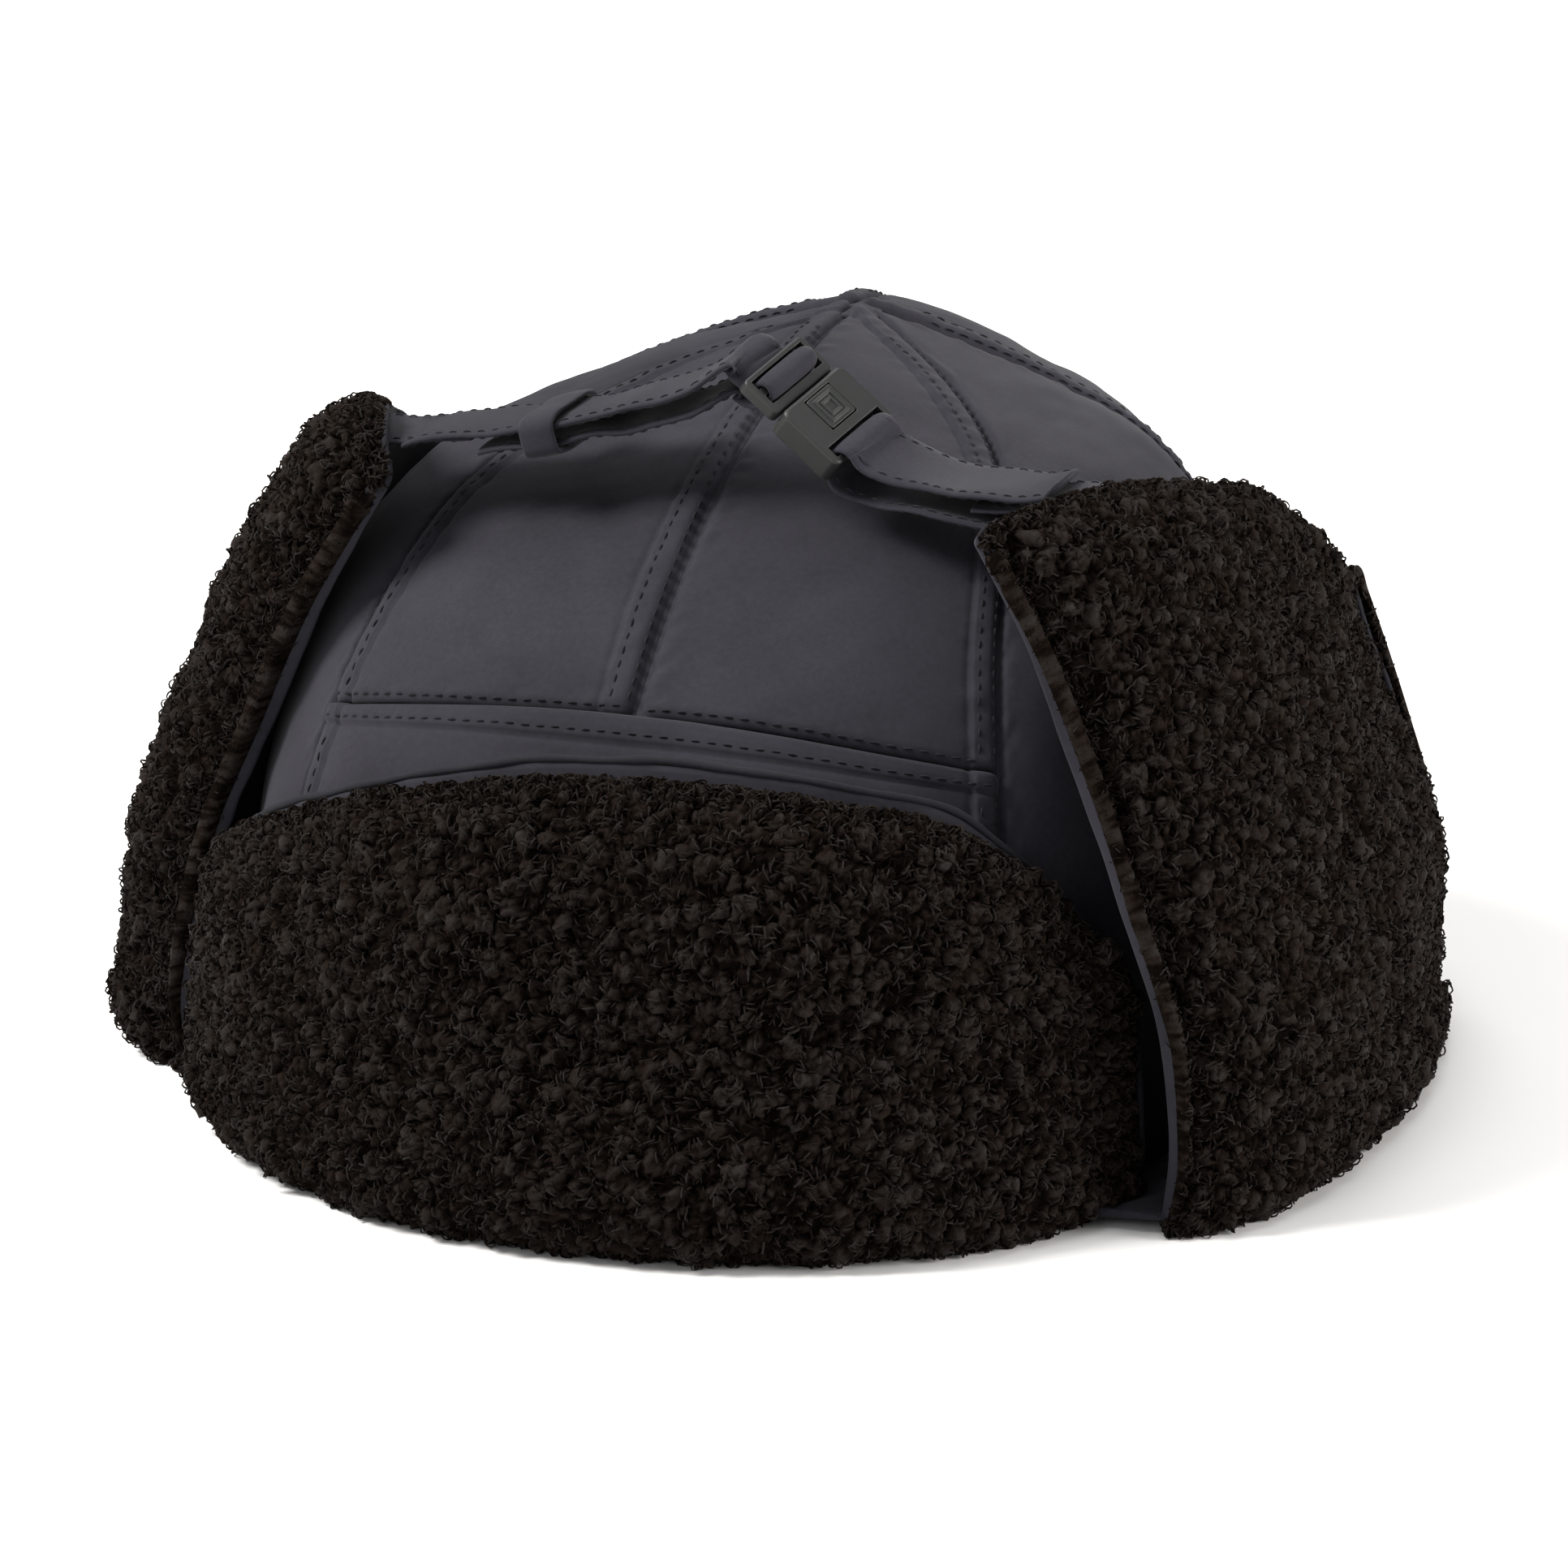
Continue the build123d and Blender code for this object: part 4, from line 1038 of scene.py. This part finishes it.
def strap(name, ctrl, n, width, thick, seed, wr=0.25, edge_rows=True, body=None, node=None, blend=None):
    P, s = catmull(ctrl, n)
    T = np.gradient(P, axis=0); T /= np.linalg.norm(T, axis=1, keepdims=True)
    d = np.maximum(0, np.abs((P - BO) @ BD) - 12.5)
    k = 1 - smooth(0, 18, d)
    side = np.array([0, 1.0, 0])[None] * (1 - k[:, None]) + BV[None] * k[:, None]
    side = side - T * (side * T).sum(1, keepdims=True)
    side /= np.linalg.norm(side, axis=1, keepdims=True)
    nrm = np.cross(T, side)
    W = width(P) if callable(width) else np.full(n, width)
    # rounded flat section
    m = 22
    a = np.linspace(0, 2 * pi, m, endpoint=False)
    cx = spow(np.cos(a), 0.5); cy = spow(np.sin(a), 0.7)
    edge = np.abs(cx) > 0.9
    far = smooth(3, 14, d)
    wav = wave(P, 16, seed) * far * wr
    V = (P[:, None] + (W / 2)[:, None, None] * cx[None, :, None] * side[:, None]
         + (thick / 2 * cy)[None, :, None] * nrm[:, None])
    lat = wave(V, 12, seed + 2) * (far[:, None]) * wr
    V = V + nrm[:, None] * (lat + wav[:, None])[..., None]
    j, i = np.meshgrid(np.arange(n - 1), np.arange(m), indexing="ij")
    F = np.stack([j * m + i, j * m + (i + 1) % m, (j + 1) * m + (i + 1) % m, (j + 1) * m + i], -1).reshape(-1, 4)
    Vf = V.reshape(-1, 3)
    # caps as quads round a centre ring
    K = len(Vf)
    Vf = np.concatenate([Vf, P[:1], P[-1:]])
    F = F.tolist()
    for q in range(0, m, 2):
        F.append([K, q, (q + 1) % m, (q + 2) % m][::-1])
        o = (n - 1) * m
        F.append([K + 1, o + q, o + (q + 1) % m, o + (q + 2) % m])
    U = np.stack([np.repeat(s, m), np.tile(cx * 8, n)], -1)
    U = np.concatenate([U, [[0, 0], [0, 0]]])
    ob = make(name, Vf, F, U)
    dress(ob, M_SHELL2, "shell_fabric")
    if blend:
        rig.blend(ob, *blend[:2], start=blend[2], end=blend[3])
    else:
        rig.ride(ob, body)
    if node:
        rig.replaces(ob, node)
    st = []
    if edge_rows:
        for sd in (-1, 1):
            for top in (1, -1):
                X = P + side * (W / 2 - 1.7)[:, None] * sd + nrm * top * (thick / 2 * 0.82) + nrm * (wav[:, None] + (wave(P + side * (W / 2)[:, None] * sd, 12, seed + 2) * far * wr)[:, None])
                for s0 in np.arange(0.8, s[-1] - 3, 2.9):
                    a_ = np.array([np.interp(s0, s, X[:, c]) for c in range(3)])
                    b_ = np.array([np.interp(s0 + 2.0, s, X[:, c]) for c in range(3)])
                    q_ = np.array([np.interp(s0 + 1.0, s, nrm[:, c]) for c in range(3)]) * top
                    st.append((a_, b_, q_))
        so = stitch_mesh(name + "_stitching", st, body, mat=M_SHELL2, r=0.2, ride=blend is None)
        if blend:
            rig.blend(so, *blend[:2], start=blend[2], end=blend[3])
    return ob


RIGHT_CTRL = [(-59.5, -33, 126.3), (-55, -33, 127.8), (-45, -33, 129.8), (-31, -33, 132.6),
              (-15, -33, 137.4), (-3, -33, 142.0), atb(-17.0, -3.4), atb(-13.4, -2.6),
              atb(-11.5, -2.35), atb(-10.3, -1.6), atb(-9.9, 0.0),
              atb(-9.5, 1.7), atb(-8.05, 2.5), atb(-6.6, 1.7), atb(-6.2, 0.0),
              atb(-6.5, -2.2), atb(-9.0, -5.0), atb(-13.5, -7.4), (-3, -33, 137.6),
              (-15, -33, 133.4), (-31, -33, 129.0), (-44, -33, 126.4)]
LEFT_CTRL = [(68.6, -33, 128.4), (60, -33, 127.2), (45, -33, 127.8), atb(16.5, 3.6),
             atb(13.0, 3.9), atb(11.2, 3.9), atb(9.8, 2.9), atb(9.35, 1.2),
             atb(9.35, -1.2), atb(9.8, -2.9), atb(11.4, -4.0), atb(16.0, -4.6),
             (45, -33, 122.6), (57, -33, 121.4), (66.5, -33, 122.4)]


def strap_w(P):
    d = np.maximum(0, np.abs((P - BO) @ BD) - 12.5)
    return 15.6 + 5.5 * smooth(2, 22, d)


strap("strap_right_cloth", RIGHT_CTRL, 420, strap_w, 1.5, 81, body="strap_right", node="strap_right_band",
      blend=("strap_right", "buckle_male", (-0.026, -0.033, 0.134), (0.004, -0.033, 0.144)))
strap("strap_left_cloth", LEFT_CTRL, 320, strap_w, 1.5, 82, body="strap_left", node="strap_left_band")
# a sewn tab carries each half of the strap from the flap's cloth and bends where it leaves it
strap("strap_left_anchor", [(77.5, -33, 126.6), (73, -33, 126.3), (68, -33, 125.6), (61, -33, 124.9), (54, -33, 124.6)], 70, 19.0, 1.3, 83,
      body="strap_left", blend=("ear_flap_left", "strap_left", (0.0745, -0.033, 0.1262), (0.0640, -0.033, 0.1252)))
strap("strap_right_anchor", [(-69, -33, 126.6), (-65, -33, 126.7), (-60.5, -33, 127.0), (-54, -33, 127.9), (-46, -33, 129.0)], 70, 19.0, 1.3, 84,
      body="strap_right", blend=("ear_flap_right", "strap_right", (-0.0660, -0.033, 0.1266), (-0.0560, -0.033, 0.1276)))


# keeper loop: a flat band wrapped round both layers of the strap
def keeper():
    c = np.array([-31.0, -33.0, 130.8])
    sl = radians(15)
    ex = np.array([math.cos(sl), 0, math.sin(sl)]); ey = np.array([0, 1.0, 0]); ez = np.cross(ex, ey)
    n = 96
    a = np.linspace(0, 2 * pi, n, endpoint=False)
    cy, cz = 12.2 * spow(np.cos(a), 0.35), 3.7 * spow(np.sin(a), 0.5)
    m = 16
    b = np.linspace(0, 2 * pi, m, endpoint=False)
    wx, wt = 3.6 * spow(np.cos(b), 0.4), 0.65 * spow(np.sin(b), 0.7)
    ring = cy[:, None] * ey[None] + cz[:, None] * ez[None]
    nr = np.gradient(ring, axis=0)
    nr = np.roll(ring, -1, 0) - np.roll(ring, 1, 0)
    nr = np.cross(nr, ex); nr /= np.linalg.norm(nr, axis=1, keepdims=True)
    V = c + ring[:, None] + wx[None, :, None] * ex + wt[None, :, None] * nr[:, None]
    V = V + nr[:, None] * (0.12 * wave(V, 7, 5))[..., None]
    j, i = np.meshgrid(np.arange(n), np.arange(m), indexing="ij")
    F = np.stack([j * m + i, j * m + (i + 1) % m, ((j + 1) % n) * m + (i + 1) % m, ((j + 1) % n) * m + i], -1).reshape(-1, 4)
    U = np.stack([np.repeat(np.linspace(0, 55, n), m), np.tile(wx, n)], -1)
    ob = make("strap_keeper_cloth", V.reshape(-1, 3), F, U)
    dress(ob, M_SHELL2, "shell_fabric"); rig.ride(ob, "strap_right"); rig.replaces(ob, "strap_keeper")


keeper()

# ------------------------------------------------------------------ buckle: the moulded nodes stay
for nm in ("buckle_housing", "buckle_ladder", "buckle_push_tab"):
    ob = frame["nodes"][nm]
    ob.data.materials.clear()
    ob.data.materials.append(M_PLASTIC)
    bv = ob.modifiers.new("soft edges", "BEVEL")
    bv.width = 0.00018; bv.segments = 2; bv.limit_method = "ANGLE"; bv.angle_limit = radians(35)

# ------------------------------------------------------------------ stage, light, camera
AZ, EL = radians(20), radians(19)
back = Vector((math.sin(AZ) * math.cos(EL), -math.cos(AZ) * math.cos(EL), math.sin(EL)))
right = Vector((math.cos(AZ), math.sin(AZ), 0))
up = Vector((-math.sin(AZ) * math.sin(EL), math.cos(AZ) * math.sin(EL), math.cos(EL)))
cam_d = bpy.data.cameras.new("camera")
cam = bpy.data.objects.new("camera", cam_d)
bpy.context.scene.collection.objects.link(cam)
cam.location = back * 1.8
aim = right * 0.00175 + up * 0.0506
cam.rotation_euler = (aim - cam.location).to_track_quat("-Z", "Y").to_euler()
cam_d.sensor_width = 36
cam_d.lens = 211.3
bpy.context.scene.camera = cam

fl = make("floor", [[-4000, -4000, 0], [4000, -4000, 0], [4000, 4000, 0], [-4000, 4000, 0]], [[0, 1, 2, 3]])
fm, nt, bs = mat_base("pale floor")
bs.inputs["Base Color"].default_value = (0.93, 0.925, 0.915, 1)
bs.inputs["Roughness"].default_value = 0.9
# the floor brightens into the white surround well behind the hat
geo = nt.nodes.new("ShaderNodeNewGeometry")
dist = nt.nodes.new("ShaderNodeVectorMath"); dist.operation = "LENGTH"
far_ = nt.nodes.new("ShaderNodeMapRange")
far_.inputs[1].default_value, far_.inputs[2].default_value = 1.0, 2.2
far_.inputs[3].default_value, far_.inputs[4].default_value = 0.0, 1.0
nt.links.new(geo.outputs["Position"], dist.inputs[0])
nt.links.new(dist.outputs["Value"], far_.inputs[0])
bs.inputs["Emission Color"].default_value = (1, 1, 1, 1)
nt.links.new(far_.outputs[0], bs.inputs["Emission Strength"])
fl.data.materials.append(fm)
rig.stage(fl)
# the floor drops to the lowest flap or strap tip when a flap is folded down
probes = []
for body, pts in (("visor_flap", [(0, -0.106, 0.09), (0.09, -0.07, 0.05)]), ("ear_flap_left", [(0.08, -0.033, 0.136), (0.09, -0.05, 0.133)]),
                  ("ear_flap_right", [(-0.072, -0.033, 0.138)]), ("neck_flap", [(0, 0.115, 0.095)]),
                  ("strap_left", [(0.012, -0.033, 0.137), (0.02, -0.033, 0.132)]), ("strap_right", [(0.016, -0.033, 0.144)]), ("buckle_male", [(0.03, -0.033, 0.139)])):
    for p in pts:
        e = bpy.data.objects.new("probe", None)
        bpy.context.scene.collection.objects.link(e)
        e.parent = frame["bodies"][body]
        e.location = p
        e.hide_render = True
        probes.append(e)
drv = fl.driver_add("location", 2).driver
drv.type = "SCRIPTED"
for i, e in enumerate(probes):
    v = drv.variables.new(); v.name = "p%d" % i; v.type = "TRANSFORMS"
    v.targets[0].id = e; v.targets[0].transform_type = "LOC_Z"; v.targets[0].transform_space = "WORLD_SPACE"
expr = "0.002"
for i in range(len(probes)):
    expr = "min(%s, p%d)" % (expr, i)
drv.expression = expr + " - 0.002"


def area(name, loc, size, power, target=(0, 0, 0.06), col=(1, 1, 1)):
    d = bpy.data.lights.new(name, "AREA")
    d.shape = "RECTANGLE"; d.size = size[0]; d.size_y = size[1]; d.energy = power; d.color = col
    o = bpy.data.objects.new(name, d)
    bpy.context.scene.collection.objects.link(o)
    o.location = loc
    o.rotation_euler = (Vector(target) - Vector(loc)).to_track_quat("-Z", "Y").to_euler()
    return o


area("key", (-1.2, -0.6, 1.5), (0.75, 0.75), 64, col=(1, 0.985, 0.965))
area("top", (0.1, 0.1, 1.9), (1.4, 1.2), 15)
area("right", (1.75, 0.2, 0.42), (0.8, 0.7), 40, col=(1, 0.97, 0.94))
area("back", (-0.6, 1.2, 1.5), (1.0, 1.0), 8)
area("front", (-0.2, -1.9, 1.1), (1.4, 0.9), 6, col=(0.97, 0.98, 1))
w = bpy.data.worlds.new("studio")
bpy.context.scene.world = w
w.use_nodes = True
w.node_tree.nodes["Background"].inputs[0].default_value = (1, 1, 1, 1)
bg = w.node_tree.nodes["Background"]
lp = w.node_tree.nodes.new("ShaderNodeLightPath")
st_ = w.node_tree.nodes.new("ShaderNodeMapRange")
st_.inputs[3].default_value = 0.22
st_.inputs[4].default_value = 1.3
w.node_tree.links.new(lp.outputs["Is Camera Ray"], st_.inputs[0])
w.node_tree.links.new(st_.outputs[0], bg.inputs[1])
bpy.context.scene.view_settings.view_transform = "Standard"
bpy.context.scene.view_settings.exposure = 0.0

vis = [list(c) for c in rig.bounds()]
try:
    json.dump({"cad": [[float(x) for x in c] for c in CAD_BOX], "visual": [[float(x) for x in c] for c in vis]}, open("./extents.json", "w"))
except OSError:
    pass
